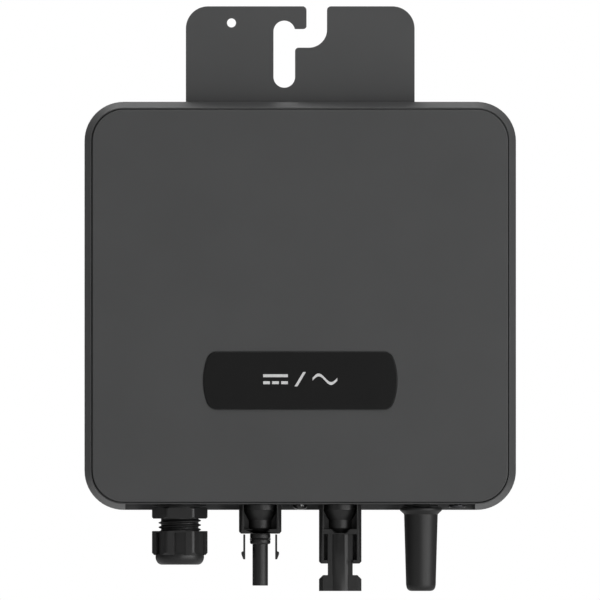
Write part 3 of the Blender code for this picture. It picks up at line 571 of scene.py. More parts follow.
# %% Hollow, seat and land
hollow = add_slab("hollow", spot(-90.6, -40, 6.0), spot(90.6, -5.3, 175.6), 11.5 * MM, 8)
cut(shell, hollow)
cut(shell, inset_slab("seat", FLARE + LIP, -40, -30.2))
cut(shell, add_block("land_cut", spot(-77.8, -40, -10), spot(77.8, -6.8, FLARE)))
print("shell faces after the big cuts:", len(shell.data.polygons))

# %% [markdown]
# Cooling ribs stand on the back of the casting below the bracket, and bosses stand inside
# for the screws.  They are separate blocks and rods joined by one Boolean.  The ribs get
# a rounded top edge before they are joined, as cast ribs always have.

# %% Ribs and bosses
RIBS = 11
RIB_STEP = 13.0
RIB_BACK = -0.8
rib = add_block("rib", spot(-66.1, -3.8, 14.0), spot(-63.9, RIB_BACK, 90.0))
bevel_edges(rib, 0.7 * MM, 4, lambda middle, way: near(middle.y, RIB_BACK * MM))
ribs = [rib]
for index in range(1, RIBS):
    ribs.append(copy_of(rib, "rib_%d" % index, (RIB_STEP * index * MM, 0, 0)))
join(shell, gather(ribs, "ribs"))

bosses = rods_at(cover_screws, -4.3, -11.8, 3.5)
bosses += rods_at(board_screws, -4.3, -9.5, 3.4)
bosses += rods_at(bracket_screws, -4.3, -7.8, 3.6)
join(shell, gather(bosses, "bosses"))

# %% Holes
holes = rods_at(cover_screws, 1, -14, 2.1)
holes += rods_at(board_screws, -6.1, -14, 1.6)
holes += rods_at(bracket_screws, 1, -6.8, 2.1)
holes += [add_rod("hole", (x, port_y / MM, -5), (x, port_y / MM, 8), radius, 48)
          for x, radius in ports]
cut(shell, gather(holes, "holes"))
cut(shell, gather(rods_at(cover_screws, 1, -5.4, 3.1), "sinks"))
soften(shell, 0.16)
dress(shell, shell_coat, "powder_coated_aluminium", "main_shell")

# %% [markdown]
# ## The front cover
#
# The cover is a flat plate that drops into the seat, standing 0.8 mm proud, with a groove
# all round it.  A shallow recess takes the badge.  Six posts behind it meet the bosses of
# the shell, so that it is screwed from the rear and no screw shows in front.
#
# The recess and the badge share one outline: a rectangle with rounded corners whose ends
# bulge.  The ends are made by moving each row of points outwards by the height of an arc,
# row by row, so the flat end becomes a curve.

# %% Outline with bulging ends
BULGE = 3.1
badge_half_height = (badge_high.z - badge_low.z) / 2
badge_middle = (badge_high.z + badge_low.z) / 2
badge_half_width = (badge_high.x - badge_low.x) / 2


def rows_of(piece, axis):
    """The different positions of a mesh's points along an axis."""
    return sorted({round(vert.co[axis], 7) for vert in piece.data.vertices})


def shift_row(piece, axis, value, test, move):
    """Move the points of one row that pass a test."""
    edit(piece, "VERT")
    mesh = bmesh.from_edit_mesh(piece.data)
    for vert in mesh.verts:
        if abs(vert.co[axis] - value) < 1e-6 and test(vert.co):
            vert.select_set(True)
    bmesh.update_edit_mesh(piece.data)
    bpy.ops.transform.translate(value=move)
    close()


def bulged_plate(name, low_y, high_y, grow):
    half = badge_half_height + grow * MM
    straight = badge_half_width + grow * MM - BULGE * MM
    plate = add_slab(name, (-straight, low_y * MM, badge_middle - half),
                     (straight, high_y * MM, badge_middle + half), (2.7 + grow) * MM, 8)
    slice_across(plate, 2, [badge_middle + step * (half - 3.2 * MM) / 9
                            for step in range(-9, 10)])
    radius = (half ** 2 + (BULGE * MM) ** 2) / (2 * BULGE * MM)
    for row in rows_of(plate, 2):
        drop = min(abs(row - badge_middle), half)
        reach = sqrt(radius ** 2 - drop ** 2) - (radius - BULGE * MM)
        for side in (-1, 1):
            shift_row(plate, 2, row, lambda co: co.x * side > 0, (side * reach, 0, 0))
    return plate


# %% Cover plate
COVER_FRONT = -33.8
cover = inset_slab("cover", FLARE + LIP + SEAM, COVER_FRONT, -31.6)
bevel_edges(cover, 0.4 * MM, 4, lambda middle, way: near(middle.y, COVER_FRONT * MM))
join(cover, gather(rods_at(cover_screws, -32.1, -12.1, 3.5), "posts"))
cut(cover, gather(rods_at(cover_screws, -25, -5, 1.9), "pilots"))
cut(cover, bulged_plate("badge_recess", -36.0, -33.2, 0.3))
soften(cover, 0.08, 2)
dress(cover, cover_coat, "powder_coated_aluminium", "front_cover")

# %% Badge film
badge = bulged_plate("badge_plate", -34.3, -33.5, 0.0)
soften(badge, 0.12, 3)
dress(badge, badge_film, "badge_film", "badge")

# %% [markdown]
# ## The printed symbol
#
# The badge carries a plain mark for what the box does: direct current on the left, drawn
# as a bar over three dashes, a slash, and alternating current on the right, drawn as one
# wave.  The wave is a thin strip cut into many columns, and each column is lifted by a
# sine.  The print stands a fiftieth of a millimetre on the film.

# %% Symbol strokes
mark_height = badge_middle + 0.6 * MM
print_back = badge_low.y + 0.01 * MM
print_front = badge_low.y - 0.02 * MM


def stroke(name, x_low, x_high, z_low, z_high):
    """One printed stroke; sizes in mm about the middle of the badge."""
    return add_block(name, (x_low * MM, print_front, mark_height + z_low * MM),
                     (x_high * MM, print_back, mark_height + z_high * MM))


strokes = [stroke("bar", -16.5, -5.5, 0.9, 2.2)]
for start in (-16.5, -12.5, -8.5):
    strokes.append(stroke("dash", start, start + 3.0, -2.2, -0.9))
slash = stroke("slash", -0.65, 0.65, -3.2, 3.2)
for row, lean in ((-3.2, -1.9), (3.2, 1.9)):
    shift_row(slash, 2, round(mark_height + row * MM, 7), lambda co: True, (lean * MM, 0, 0))
strokes.append(slash)

wave = stroke("wave", 5.5, 16.5, -0.65, 0.65)
slice_across(wave, 0, [(5.5 + 11.0 * step / 40) * MM for step in range(1, 40)])
for column in rows_of(wave, 0):
    phase = 2 * pi * (column / MM - 5.5) / 11.0
    shift_row(wave, 0, column, lambda co: True, (0, 0, 1.9 * MM * sin(phase)))
strokes.append(wave)
mark = gather(strokes, "badge_mark")
soften(mark)
dress(mark, printed_ink, "badge_film")

# %% [markdown]
# ## The hook bracket
#
# A plate of 2.5 mm sheet is screwed to the back.  A rail bolt enters the channel in its
# top edge, crosses sideways under a tooth and drops into the slot.  The plate is a block
# with rounded corners.  Three tools cut the slot, the crossing and the channel, and then
# each corner they leave is rounded by its own radius, as a punch would leave it.

# %% Plate
PLATE_HALF = 50.9
PLATE_FOOT = 98.0
PLATE_TOP = 224.1
plate = add_block("plate", spot(-PLATE_HALF, -2.5, PLATE_FOOT), spot(PLATE_HALF, 0.0, PLATE_TOP))


def round_upright(piece, x, height, radius, steps=8):
    """Round the edges along Y that stand at one place; x and height in mm."""
    place = spot(x, 0, height)
    return bevel_edges(piece, radius * MM, steps, lambda middle, way: abs(way.y) > 0.9
                       and hypot(middle.x - place.x, middle.z - place.z) < 0.15 * MM)


for side in (-1, 1):
    round_upright(plate, side * PLATE_HALF, PLATE_TOP, 9.9, 14)
    round_upright(plate, side * PLATE_HALF, PLATE_FOOT, 5.0, 10)

# %% Slot, crossing and channel
CROSSING_FOOT = 205.7
CROSSING_TOP = 213.95
slot = add_slab("slot", spot(-11.9, -4, 187.9), spot(-2.3, 2, 217.7), 4.799 * MM, 20)
cut(plate, slot)
cut(plate, add_block("crossing", spot(-7.1, -4, CROSSING_FOOT), spot(3.4, 2, CROSSING_TOP)))
channel = add_block("channel", spot(2.8, -4, CROSSING_FOOT), spot(11.9, 2, 230.0))
round_upright(channel, 11.9, CROSSING_FOOT, 8.0, 14)
cut(plate, channel)
corners = ((-2.3, CROSSING_FOOT, 1.6), (2.8, CROSSING_TOP, 1.7), (-2.416, CROSSING_TOP, 1.3),
           (2.8, PLATE_TOP, 1.8), (11.9, PLATE_TOP, 1.8))
for x, height, radius in corners:
    print("rounded", round_upright(plate, x, height, radius), "edge at", x, height)

# %% Countersinks and the locating hole
cut(plate, add_rod("locating_hole", (-30.6, -4, 216.7), (-30.6, 2, 216.7), 2.0, 40))
sinks = []
for x, height in bracket_screws:
    sinks.append(add_turned("sink", spot(x, 0, height), [
        (2.0, -4.0), (2.0, -2.25), (3.9, 0.2), (3.9, 1.0)], 40, along_y=True))
cut(plate, gather(sinks, "countersinks"))
soften(plate, 0.3)
dress(plate, bracket_coat, "bracket_powder_coat", "mounting_bracket")

# %% [markdown]
# ## Screws
#
# Six pan-head screws hold the cover from the rear and four countersunk screws hold the
# bracket.  One screw of each kind is turned, given a hexagon socket, and copied.  Each
# copy has its own mesh, with its place in the mesh.

# %% Cover screws and bracket screws
def add_screw(name, x, height, rings, socket, floor):
    """A screw that is driven from the rear; socket is the radius of its hexagon."""
    screw = add_turned(name, spot(x, 0, height), rings, 40, along_y=True)
    key = add_turned("key", spot(x, 0, height), [(socket, 2.0), (socket, floor)], 6,
                     along_y=True)
    cut(screw, key)
    return soften(screw, 0.08, 2)


pan_head = [(2.2, -3.0), (2.55, -3.15), (2.7, -3.5), (2.7, -5.1), (1.6, -5.1), (1.6, -19.6),
            (1.1, -20.1)]
flat_head = [(3.1, -0.1), (3.1, -0.25), (1.5, -1.9), (1.6, -2.2), (1.6, -5.7), (1.3, -6.0)]


def add_screws(kind, places, rings, socket, floor, node):
    """Turn the first screw of a kind, copy it to the other places and dress them all."""
    first_x, first_height = places[0]
    pattern = add_screw(kind + "_1", first_x, first_height, rings, socket, floor)
    screws = [pattern]
    for number, (x, height) in enumerate(places[1:], 2):
        move = ((x - first_x) * MM, 0, (height - first_height) * MM)
        screws.append(copy_of(pattern, "%s_%d" % (kind, number), move))
    for number, screw in enumerate(screws, 1):
        dress(screw, stainless, "stainless_steel", "%s_%d" % (node, number))


add_screws("screw", cover_screws, pan_head, 1.35, -4.4, "cover_screw")
add_screws("flat_screw", bracket_screws, flat_head, 1.15, -1.3, "bracket_screw")

# %% [markdown]
# ## The cable gland
#
# The gland clamps the mains cable.  Its body is a hexagon with one thread through the
# wall and another below it.  The lower thread shows, so it is a true helix: one trapezoid
# section is carried round and down by the Screw modifier, which makes the crests slope as
# they do on any right-handed thread.  Plain rings would stand level.

# %% Hexagons and the helix
HEX_RADIUS = 12.68
gland_at = port_centre(GLAND_X)


def add_hexagon(name, centre, rings):
    """A hexagon bar with two of its rounded corners on the X axis; rings give its size."""
    bar = add_turned(name, centre, rings, 6, twist=30.0)
    bevel_edges(bar, 1.05 * MM, 5, lambda middle, way: abs(way.z) > 0.9)
    return bar


def add_helix(name, centre, root, crest, pitch, top, turns, phase):
    """A thread ridge from a trapezoid section swept down a right-handed helix."""
    only(None)
    bpy.ops.mesh.primitive_plane_add(size=1, location=(centre.x, centre.y, 0),
                                     rotation=(pi / 2, 0, 0))
    ridge = bpy.context.object
    bpy.ops.object.transform_apply(location=False, rotation=True, scale=False)
    edit(ridge, "VERT")
    mesh = bmesh.from_edit_mesh(ridge.data)
    for vert in mesh.verts:
        outer = vert.co.x > 0
        half = (0.11 if outer else 0.36) * pitch
        radius = crest if outer else root
        side = 1 if vert.co.z > 0 else -1
        vert.co = Vector((radius * cos(phase), radius * sin(phase),
                          body_bottom / MM + top + side * half)) * MM
    bmesh.update_edit_mesh(ridge.data)
    close()
    screw = ridge.modifiers.new("thread", "SCREW")
    screw.axis = "Z"
    screw.steps = 48
    screw.render_steps = 48
    screw.screw_offset = -pitch * MM
    screw.angle = -2 * pi
    screw.iterations = turns
    screw.use_merge_vertices = True
    screw.merge_threshold = 1e-6
    apply_modifier(ridge, screw)
    settle(ridge, name)
    edit(ridge, "EDGE")
    bpy.ops.mesh.select_non_manifold(extend=False)
    bpy.ops.mesh.edge_face_add()
    select_everything()
    bpy.ops.mesh.normals_make_consistent(inside=False)
    close()
    return ridge


# %% Gland body
hexagon = add_hexagon("gland_hexagon", gland_at, [(HEX_RADIUS, 1.1), (HEX_RADIUS, -3.9)])
round_bar = add_turned("gland_round", gland_at, [
    (11.3, 1.6), (12.6, 0.3), (12.6, -3.0), (11.3, -4.4)], 96)
gland = combine(hexagon, round_bar, "INTERSECT")
soften(gland, 0.12, 2, 28)
stem = add_turned("gland_stem", gland_at, [
    (8.8, 13.0), (9.4, 12.4), (9.4, -0.6), (8.35, -1.2), (8.35, -15.4), (7.85, -16.0)], 96)
join(gland, stem)
cut(gland, add_turned("gland_bore", gland_at, [(6.8, 20.0), (6.8, -30.0)], 64))
soften(gland)
helix = add_helix("gland_helix", gland_at, 8.2, 9.4, 2.0, -4.75, 5, 0.0)
join(gland, helix)
gland.name = "gland"
soften(gland)
dress(gland, nylon, "black_nylon", "gland_body")


def add_flat_seal(name, centre, rings, bore, node):
    """A flat rubber ring under a flange; bore is the radius of its hole."""
    ring = add_turned(name, centre, rings)
    cut(ring, add_turned("bore", centre, [(bore, 5.0), (bore, -5.0)]))
    dress(soften(ring), rubber, "black_rubber", node)


add_flat_seal("washer", gland_at, [(11.7, 2.3), (12.0, 2.0), (12.0, 1.7), (11.7, 1.4)], 9.7,
              "gland_washer")

# %% [markdown]
# The dome nut is a hexagon with a slanted grip groove down the middle of each side, deep at
# one edge and rising to the other, and a rounded end with the cable hole.  A turned bar
# with a narrower top and foot is intersected with the hexagon, which trims its corners as
# a lathe does.  Each groove tool is a block with one upright pushed inwards, and the six
# stand in steps of 60 degrees about the nut's axis.

# %% Dome nut
nut = add_hexagon("nut_hexagon", gland_at, [(HEX_RADIUS, -9.4), (HEX_RADIUS, -20.1)])
trim = add_turned("nut_trim", gland_at, [
    (11.6, -8.9), (12.6, -9.8), (12.6, -18.7), (12.2, -19.3), (11.0, -20.6)], 96)
combine(nut, trim, "INTERSECT")

grooves = []
for index in range(6):
    groove = add_block("groove_%d" % index,
                       spot(GLAND_X - 2.65, port_y / MM - 14.0, -21.0),
                       spot(GLAND_X + 2.65, port_y / MM - 10.72, -10.1))
    edit(groove, "EDGE")
    pick_edges(groove, lambda middle, way: abs(way.z) > 0.9 and middle.y > gland_at.y - 0.012
               and middle.x < gland_at.x)
    bpy.ops.transform.translate(value=(0.4 * MM, 0.95 * MM, 0))
    select_everything()
    bpy.ops.transform.rotate(value=radians(60.0 * index), orient_axis="Z",
                             center_override=gland_at)
    close()
    grooves.append(groove)
cut(nut, gather(grooves, "grooves"))

dome = add_turned("nut_dome", gland_at, [
    (10.7, -19.7), (10.8, -20.4), (10.8, -21.3), (10.6, -22.2), (10.2, -23.1),
    (9.6, -23.8), (8.9, -24.2), (8.2, -24.4)], 96)
join(nut, dome)
nut_bore = add_turned("nut_bore", gland_at, [
    (9.55, 0.0), (9.55, -20.2), (7.9, -21.4), (5.2, -21.41), (5.2, -23.7), (5.9, -24.4),
    (5.9, -30.0)], 96)
cut(nut, nut_bore)
nut.name = "dome_nut"
soften(nut, crease=25)
dress(nut, nylon, "black_nylon", "gland_dome_nut", body="gland_nut")

# %% Seal inside the nut
seal = add_turned("seal", gland_at, [
    (5.8, -12.0), (6.1, -12.3), (6.1, -18.6), (7.6, -19.2), (7.6, -20.8), (7.3, -21.1)])
cut(seal, add_turned("seal_bore", gland_at, [(4.5, 0.0), (4.5, -12.4), (4.2, -12.7),
                                             (4.2, -20.7), (4.6, -21.3), (4.6, -30.0)]))
soften(seal)
dress(seal, rubber, "black_rubber", "gland_seal", body="gland_seal")

# %% [markdown]
# ## The DC connectors
#
# The module's two leads plug into these.  Both have an open frame: two side walls with
# chamfered corners and a cross bar, with the round barrel between.  The pockets are cut
# from the front and the back, and the barrel is turned and joined.  The socket half ends
# in a nose with an O-ring, between two sprung arms with hooks.  The pin half ends in a
# column whose front and back bulge over the hollow barrel.

# %% Frame of a connector
HALF_WIDTH = 9.45
HALF_DEPTH = 7.75


def connector_block(name, x, top, bottom, half_depth, chamfer, chamfered_height):
    """A block with chamfered uprights and two chamfered side edges at one height."""
    block = add_block(name, spot(x - HALF_WIDTH, port_y / MM - half_depth, bottom),
                      spot(x + HALF_WIDTH, port_y / MM + half_depth, top))
    level = body_bottom + chamfered_height * MM
    bevel_edges(block, chamfer * MM, 1,
                lambda middle, way: near(middle.z, level) and abs(way.y) > 0.9)
    bevel_edges(block, 1.7 * MM, 1, lambda middle, way: abs(way.z) > 0.9)
    return block


def pocket_tools(x, pockets):
    """Tools for pockets in front and behind, as (half width, start, top, bottom)."""
    tools = []
    for half_width, start, top, bottom in pockets:
        for side in (-1, 1):
            depths = sorted((port_y / MM + side * start, port_y / MM + side * 12.0))
            tools.append(add_block("pocket", spot(x - half_width, depths[0], bottom),
                                   spot(x + half_width, depths[1], top)))
    return tools


def notch_tools(x):
    """Notches in the cross bar round the barrel, narrower at the bottom."""
    tools = pocket_tools(x, [(4.45, 2.9, -8.4, -10.35)])
    for tool in tools:
        edit(tool, "FACE")
        pick_faces(tool, lambda centre, normal: normal.z < -0.9)
        bpy.ops.transform.resize(value=(0.62, 1, 1), center_override=spot(x, 0, -10.35))
        close()
    return tools


UPPER_POCKET = (7.35, 1.1, 3.0, -8.5)
neck = [(5.4, 14.0), (5.9, 13.5), (5.9, 2.3), (7.7, 2.3), (7.7, 0.0), (7.4, -0.3), (7.2, -0.9),
        (5.35, -4.45), (5.2, -4.55), (5.15, -8.05), (4.95, -8.25), (3.3, -10.2)]

# %% Socket half
socket_at = port_centre(SOCKET_X)
socket = connector_block("socket_half", SOCKET_X, 2.3, -10.6, HALF_DEPTH, 0.9, -10.6)
for tool in pocket_tools(SOCKET_X, [UPPER_POCKET]) + notch_tools(SOCKET_X):
    cut(socket, tool)
soften(socket, 0.15, 2)
core = add_turned("socket_core", socket_at, neck + [
    (3.9, -10.45), (4.55, -10.8), (4.55, -12.55), (3.7, -12.6), (3.7, -13.4), (4.55, -13.45),
    (4.55, -14.6), (4.4, -14.95), (4.05, -15.2), (3.45, -15.25), (3.45, -33.4),
    (3.4, -33.6), (3.25, -33.7)])
join(socket, core)
cut(socket, add_turned("socket_bore", socket_at, [(2.6, 20.0), (2.6, -33.3), (2.9, -33.8),
                                                  (2.9, -40.0)]))
soften(socket, crease=15)
dress(socket, connector_plastic, "connector_plastic", "socket_body")

# %% O-ring
only(None)
bpy.ops.mesh.primitive_torus_add(location=(socket_at.x, socket_at.y, body_bottom - 13.0 * MM),
                                 major_radius=4.3 * MM, minor_radius=0.4 * MM,
                                 major_segments=64, minor_segments=16)
ring = settle(bpy.context.object, "o_ring")
edit(ring, "FACE")
pick_faces(ring, lambda centre, normal: abs(normal.z) > 0.9)
bpy.ops.transform.resize(value=(1, 1, 0.96), center_override=(socket_at.x, socket_at.y,
                                                             body_bottom - 13.0 * MM))
close()
soften(ring)
dress(ring, rubber, "black_rubber", "socket_o_ring")

# %% Sprung arms
def add_arm(name, side):
    """A thin arm with a hooked end, from a block whose lower faces are pushed outwards."""
    x = SOCKET_X + side * 7.1
    block = add_block(name, spot(x - 0.45, port_y / MM - 3.0, -22.0),
                      spot(x + 0.45, port_y / MM + 3.0, -10.9))
    slice_across(block, 2, [spot(0, 0, height).z for height in (-18.35, -18.75, -19.7)])
    edit(block, "FACE")
    pick_faces(block, lambda centre, normal: normal.x * side > 0.9
               and near(centre.z, spot(0, 0, -19.2).z, 0.3 * MM))
    bpy.ops.transform.translate(value=(side * 0.85 * MM, 0, 0))
    close()
    return soften(block, 0.09, 2)


dress(add_arm("arm_left", -1), connector_plastic, "connector_plastic", "socket_latch_left",
      body="latch_left")
dress(add_arm("arm_right", 1), connector_plastic, "connector_plastic", "socket_latch_right",
      body="latch_right")

# %% Pin half
COLUMN_HALF = 5.55
pin_at = port_centre(PIN_X)
pin_half = connector_block("pin_half", PIN_X, 2.3, -23.9, HALF_DEPTH, 0.9, -23.9)
for tool in pocket_tools(PIN_X, [UPPER_POCKET, (7.35, 1.1, -10.8, -22.3),
                                 (5.7, 5.3, -22.0, -24.5)]) + notch_tools(PIN_X):
    cut(pin_half, tool)
foot = connector_block("pin_foot", PIN_X, -29.0, -37.5, 5.6, 1.8, -29.0)
soften(pin_half, 0.15, 2)
column = add_block("pin_column", spot(PIN_X - COLUMN_HALF, port_y / MM - 5.5, -36.9),
                   spot(PIN_X + COLUMN_HALF, port_y / MM + 5.5, -10.65))
bulge = add_turned("pin_bulge", pin_at, [(6.5, -10.62), (6.5, -37.0)], 96)
pin_slice = add_block("pin_slice", spot(PIN_X - COLUMN_HALF, -40, -40),
                      spot(PIN_X + COLUMN_HALF, 5, 0))
combine(bulge, pin_slice, "INTERSECT")
join(column, bulge)
join(column, foot)
cut(column, add_block("pin_end", spot(0, -40, -45), spot(40, 10, -36.1)))
join(pin_half, add_turned("pin_core", pin_at, neck + [(3.3, -11.5)]))
join(pin_half, column)
cut(pin_half, add_turned("pin_cavity", pin_at, [
    (2.6, 20.0), (2.6, -13.0), (4.75, -13.01), (4.75, -35.6), (5.25, -36.2), (5.25, -40.0)]))
soften(pin_half, crease=15)
dress(pin_half, connector_plastic, "connector_plastic", "pin_body")

# %% Contacts
pin = add_turned("contact_pin", pin_at, [
    (2.0, 16.0), (2.3, 15.5), (2.3, -12.0), (1.7, -13.0), (1.7, -27.3), (1.5, -28.2),
    (1.1, -28.8), (0.6, -29.0)], 40)
soften(pin)
dress(pin, tinned_copper, "tinned_copper", "pin_contact")
sleeve = add_turned("contact_sleeve", socket_at, [
    (2.0, 16.0), (2.3, 15.5), (2.3, -30.8), (2.15, -31.0)], 40)
cut(sleeve, add_turned("sleeve_bore", socket_at, [(1.8, -14.0), (1.8, -30.8), (1.95, -31.2),
                                                  (1.95, -36.0)], 40))
soften(sleeve)
dress(sleeve, tinned_copper, "tinned_copper", "socket_contact")

# %% [markdown]
# ## Antenna, status lens and earth screw
#
# The stub antenna sends the readings to a gateway.  Its cover is turned: a flange, a
# short cone, a long slightly tapered barrel and a rounded end.  The lens is a small dome,
# and the earth screw is a low head with a hexagon socket.

# %% Antenna
antenna_at = port_centre(ANTENNA_X)
antenna = add_turned("antenna", antenna_at, [
    (3.2, 14.0), (4.0, 13.5), (4.0, 1.2), (8.6, 1.2), (9.1, 1.0), (9.35, 0.6), (9.35, -0.1),
    (9.2, -0.4), (7.65, -1.8), (7.5, -2.1), (7.1, -16.0), (6.62, -33.2), (6.4, -34.5),
    (5.9, -35.4), (5.2, -35.9), (4.4, -36.1)], 96)
cut(antenna, add_turned("antenna_hollow", antenna_at, [(2.4, 20.0), (2.4, -33.0)]))
soften(antenna, 0.06, 2)
dress(antenna, radome_plastic, "radome_plastic", "antenna_radome")

add_flat_seal("antenna_collar", antenna_at, [
    (7.55, 2.3), (7.75, 2.1), (7.75, 1.7), (7.55, 1.5)], 4.4, "antenna_seal")

# %% Lens and earth screw
lens = add_turned("lens", port_centre(LENS_X), [
    (1.9, 9.0), (1.9, 2.3), (3.1, 2.3), (3.1, 1.5), (3.0, 1.1), (2.75, 0.75), (2.3, 0.42),
    (1.7, 0.18), (1.0, 0.04), (0.3, 0.0)], 64)
soften(lens)
dress(lens, smoked_lens, "smoked_lens", "status_lens")

earth_at = port_centre(EARTH_X)
earth = add_turned("earth", earth_at, [
    (1.4, 10.0), (1.7, 9.7), (1.7, 2.3), (3.5, 2.3), (3.7, 2.1), (3.7, 1.6), (3.55, 1.2),
    (3.2, 0.9)], 64)
cut(earth, add_turned("earth_key", earth_at, [(1.6, 1.5), (1.6, -3.0)], 6))
soften(earth, 0.05, 2)
dress(earth, black_steel, "blackened_steel", "earth_screw")

# %% [markdown]
# ## Inside the casting
#
# The board and its components are closed in, and show only if the cover is taken off.
# Their solids have the right shapes already, so they stay and get finishes with the
# detail that each shows: traces and pads on the boards, turns of wire on the windings,
# plain sleeves on the cans.

# %% Boards
def circuit_board(name, resist, trace):
    """Solder resist over copper: a lighter maze of traces with bright pads in it."""
    material = new_finish(name, 0.35, 0.0, 0.5)
    coords = add_node(material, "ShaderNodeTexCoord")
    maze = add_node(material, "ShaderNodeTexBrick", Scale=1.0, Mortar_Size=0.0004,
                    Brick_Width=0.006, Row_Height=0.0021)
    maze.inputs["Color1"].default_value = (*resist, 1.0)
    maze.inputs["Color2"].default_value = (*(channel * 0.82 for channel in resist), 1.0)
    maze.inputs["Mortar"].default_value = (*trace, 1.0)
    turn = add_node(material, "ShaderNodeMapping", Rotation=(pi / 2, 0, 0))
    wire_up(material, coords.outputs["Object"], turn.inputs["Vector"])
    wire_up(material, turn.outputs["Vector"], maze.inputs["Vector"])
    pads = add_node(material, "ShaderNodeTexVoronoi", Scale=260.0)
    wire_up(material, turn.outputs["Vector"], pads.inputs["Vector"])
    spots = ramp_on(material, pads.outputs["Distance"],
                    ((0.16, (1, 1, 1)), (0.20, (0, 0, 0))))
    mix = material.node_tree.nodes.new("ShaderNodeMix")
    mix.data_type = "RGBA"
    wire_up(material, spots.outputs["Color"], mix.inputs[0])
    wire_up(material, maze.outputs["Color"], mix.inputs[6])
    mix.inputs[7].default_value = (0.55, 0.54, 0.50, 1.0)
    wire_up(material, mix.outputs[2], shader_of(material).inputs["Base Color"])
    wire_up(material, spots.outputs["Color"], shader_of(material).inputs["Metallic"])
    emboss(material, maze.outputs["Fac"], 0.03, 0.5)
    return material


green_board = circuit_board("green_solder_resist", (0.008, 0.085, 0.030), (0.02, 0.16, 0.06))
blue_board = circuit_board("blue_solder_resist", (0.008, 0.030, 0.150), (0.02, 0.07, 0.26))


# %% Windings, sleeves and cases
def wound(name, color, pitch, direction):
    """Turns of enamelled wire: bumped bands one wire wide, painted shade between, painted
    highlight on top.
    """
    material = new_finish(name, 0.30, 0.6, 0.5)
    coords = add_node(material, "ShaderNodeTexCoord")
    bands = add_node(material, "ShaderNodeTexWave", Scale=0.314 / (pitch * MM),
                     Distortion=0.4, Detail=1.0)
    bands.bands_direction = direction
    wire_up(material, coords.outputs["Object"], bands.inputs["Vector"])
    dark = tuple(channel * 0.45 for channel in color)
    # The ramp paints shade into the colour between the turns and a highlight on their tops.
    tint(material, bands.outputs["Fac"], ((0.1, dark), (0.7, color)))
    emboss(material, bands.outputs["Fac"], 0.25 * pitch, 0.8)
    return material


def cased(name, color, roughness, scale, depth):
    """A plain moulded or sleeved case with a faint cloud and a fine grain."""
    material = new_finish(name, roughness, 0.0, 0.4)
    dark = tuple(channel * 0.85 for channel in color)
    cloud = cloud_over(material, scale, 3.0, (0.3, dark), (0.7, color))
    rough(material, cloud.outputs["Fac"], roughness - 0.06, roughness + 0.06)
    emboss(material, cloud.outputs["Fac"], depth, 0.4)
    return material


copper_turns = wound("enamelled_copper", (0.52, 0.16, 0.05), 0.9, "Z")
choke_turns = wound("choke_copper", (0.50, 0.17, 0.06), 1.1, "X")
inside = {
    "cover_gasket": rubber,
    "gland_lock_nut": nylon,
    "main_board": green_board,
    "control_board": blue_board,
    "transformer_core": cased("ferrite", (0.030, 0.029, 0.030), 0.62, 1800.0, 0.02),
    "transformer_winding": copper_turns,
    "output_choke": choke_turns,
    "film_capacitor": cased("film_capacitor_case", (0.36, 0.30, 0.05), 0.48, 900.0, 0.01),
    "relay": cased("relay_case", (0.045, 0.075, 0.19), 0.40, 1200.0, 0.01),
    "fuse": cased("fuse_holder_plastic", (0.030, 0.030, 0.030), 0.50, 1500.0, 0.01),
    "ac_terminal": cased("terminal_block_plastic", (0.025, 0.22, 0.07), 0.50, 1300.0, 0.01),
    "heat_pad": cased("heat_pad_silicone", (0.30, 0.33, 0.36), 0.80, 700.0, 0.03),
    "dc_lead_plus": cased("red_insulation", (0.38, 0.02, 0.015), 0.48, 1500.0, 0.01),
    "dc_lead_minus": cased("black_insulation", (0.014, 0.014, 0.014), 0.48, 1500.0, 0.01),
    "antenna_lead": cased("coax_jacket", (0.026, 0.026, 0.026), 0.44, 2000.0, 0.01),
    "socket_nut": brass, "pin_nut": brass, "antenna_nut": brass, "antenna_rod": brass,
}
sleeve_finish = cased("capacitor_sleeve", (0.018, 0.018, 0.020), 0.34, 500.0, 0.01)
epoxy_finish = cased("transistor_epoxy", (0.012, 0.012, 0.012), 0.52, 1600.0, 0.015)
for number in range(1, 5):
    inside["input_capacitor_%d" % number] = sleeve_finish
    inside["board_screw_%d" % number] = stainless
for number in range(1, 3):
    inside["power_switch_%d" % number] = epoxy_finish

for node, material in inside.items():
    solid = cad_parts[node]
    for place in solid.material_slots:
        place.material = material
print("finishes given to", len(inside), "closed-in parts")

# %% [markdown]
# ## Floor, light and camera
#
# The floor is a wide pale sheet well below the object.  Five disc lamps light it: a large
# and a small one on the right, a weak one on the left, and two strong ones above, in
# front and behind.  So the right and top walls are brighter than the left, and no lamp
# stands where the flat badge would mirror it.  The surroundings look white to the camera
# and light the object only a little.  The camera looks straight at the front, and is
# orthographic, so nothing shrinks with distance.

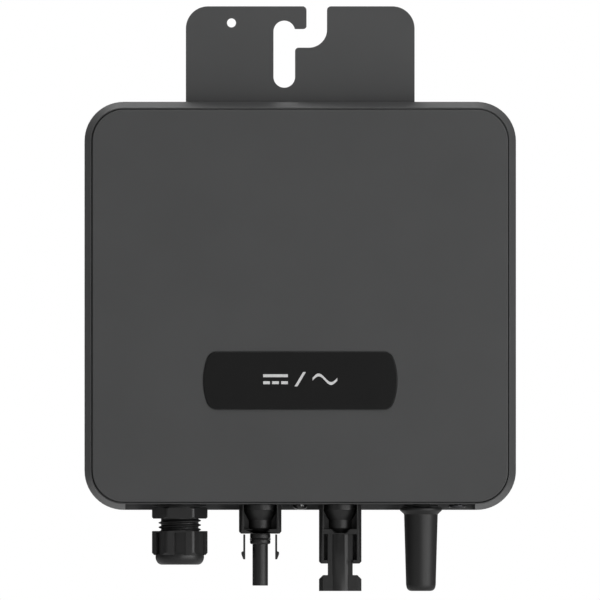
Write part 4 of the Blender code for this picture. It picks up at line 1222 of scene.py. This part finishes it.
# %% Floor
only(None)
bpy.ops.mesh.primitive_circle_add(vertices=96, radius=5.0, fill_type="NGON",
                                  location=(0, 0, -0.62))
floor = settle(bpy.context.object, "floor")
floor_paint = new_finish("floor_paint", 0.9, 0.0, 0.1)
cloud_over(floor_paint, 1.5, 2.0, (0.2, grey(0.80)), (0.8, grey(0.83)))
floor.data.materials.append(floor_paint)

# %% Surroundings
world = bpy.data.worlds.new("studio")
bpy.context.scene.world = world
world.use_nodes = True
nodes = world.node_tree.nodes
links = world.node_tree.links
backdrop = nodes["Background"]
seen = nodes.new("ShaderNodeBackground")
for background, strength in ((backdrop, 0.11), (seen, 1.0)):
    background.inputs["Color"].default_value = (1.0, 1.0, 1.0, 1.0)
    background.inputs["Strength"].default_value = strength
rays = nodes.new("ShaderNodeLightPath")
choice = nodes.new("ShaderNodeMixShader")
links.new(rays.outputs["Is Camera Ray"], choice.inputs["Fac"])
links.new(backdrop.outputs["Background"], choice.inputs[1])
links.new(seen.outputs["Background"], choice.inputs[2])
links.new(choice.outputs["Shader"], nodes["World Output"].inputs["Surface"])


# %% Lamps
def add_lamp(name, place, target, size, power):
    way = Vector(target) - Vector(place)
    only(None)
    bpy.ops.object.light_add(type="AREA", location=place,
                             rotation=way.to_track_quat("-Z", "Y").to_euler())
    lamp = bpy.context.object
    lamp.name = name
    lamp.data.shape = "DISK"
    lamp.data.size = size
    lamp.data.energy = power
    return lamp


middle = (0.0, 0.0, body_bottom + 0.09)
lamps = (("key", (2.15, -1.5, 0.0), 1.5, 28.0),
         ("right_fill", (1.0, -2.4, -0.30), 0.6, 10.0),
         ("left_fill", (-1.6, -2.1, -0.1), 1.2, 1.5),
         ("top_fill", (0.3, -1.0, 2.6), 1.4, 40.0),
         ("back_fill", (-0.4, 1.6, 2.2), 1.8, 34.0))
for name, place, size, power in lamps:
    add_lamp(name, place, middle, size, power)

# %% Camera
bpy.ops.object.camera_add(location=(-0.0001, -1.5, -0.1036), rotation=(pi / 2, 0, 0))
camera = bpy.context.object
camera.name = "camera"
camera.data.type = "ORTHO"
camera.data.ortho_scale = 0.267
camera.data.clip_end = 50.0
bpy.context.scene.camera = camera
bpy.context.scene.view_settings.view_transform = "Standard"
print("camera looks along", camera.matrix_world.to_3x3() @ Vector((0, 0, -1)))

# %% The end
only(None)
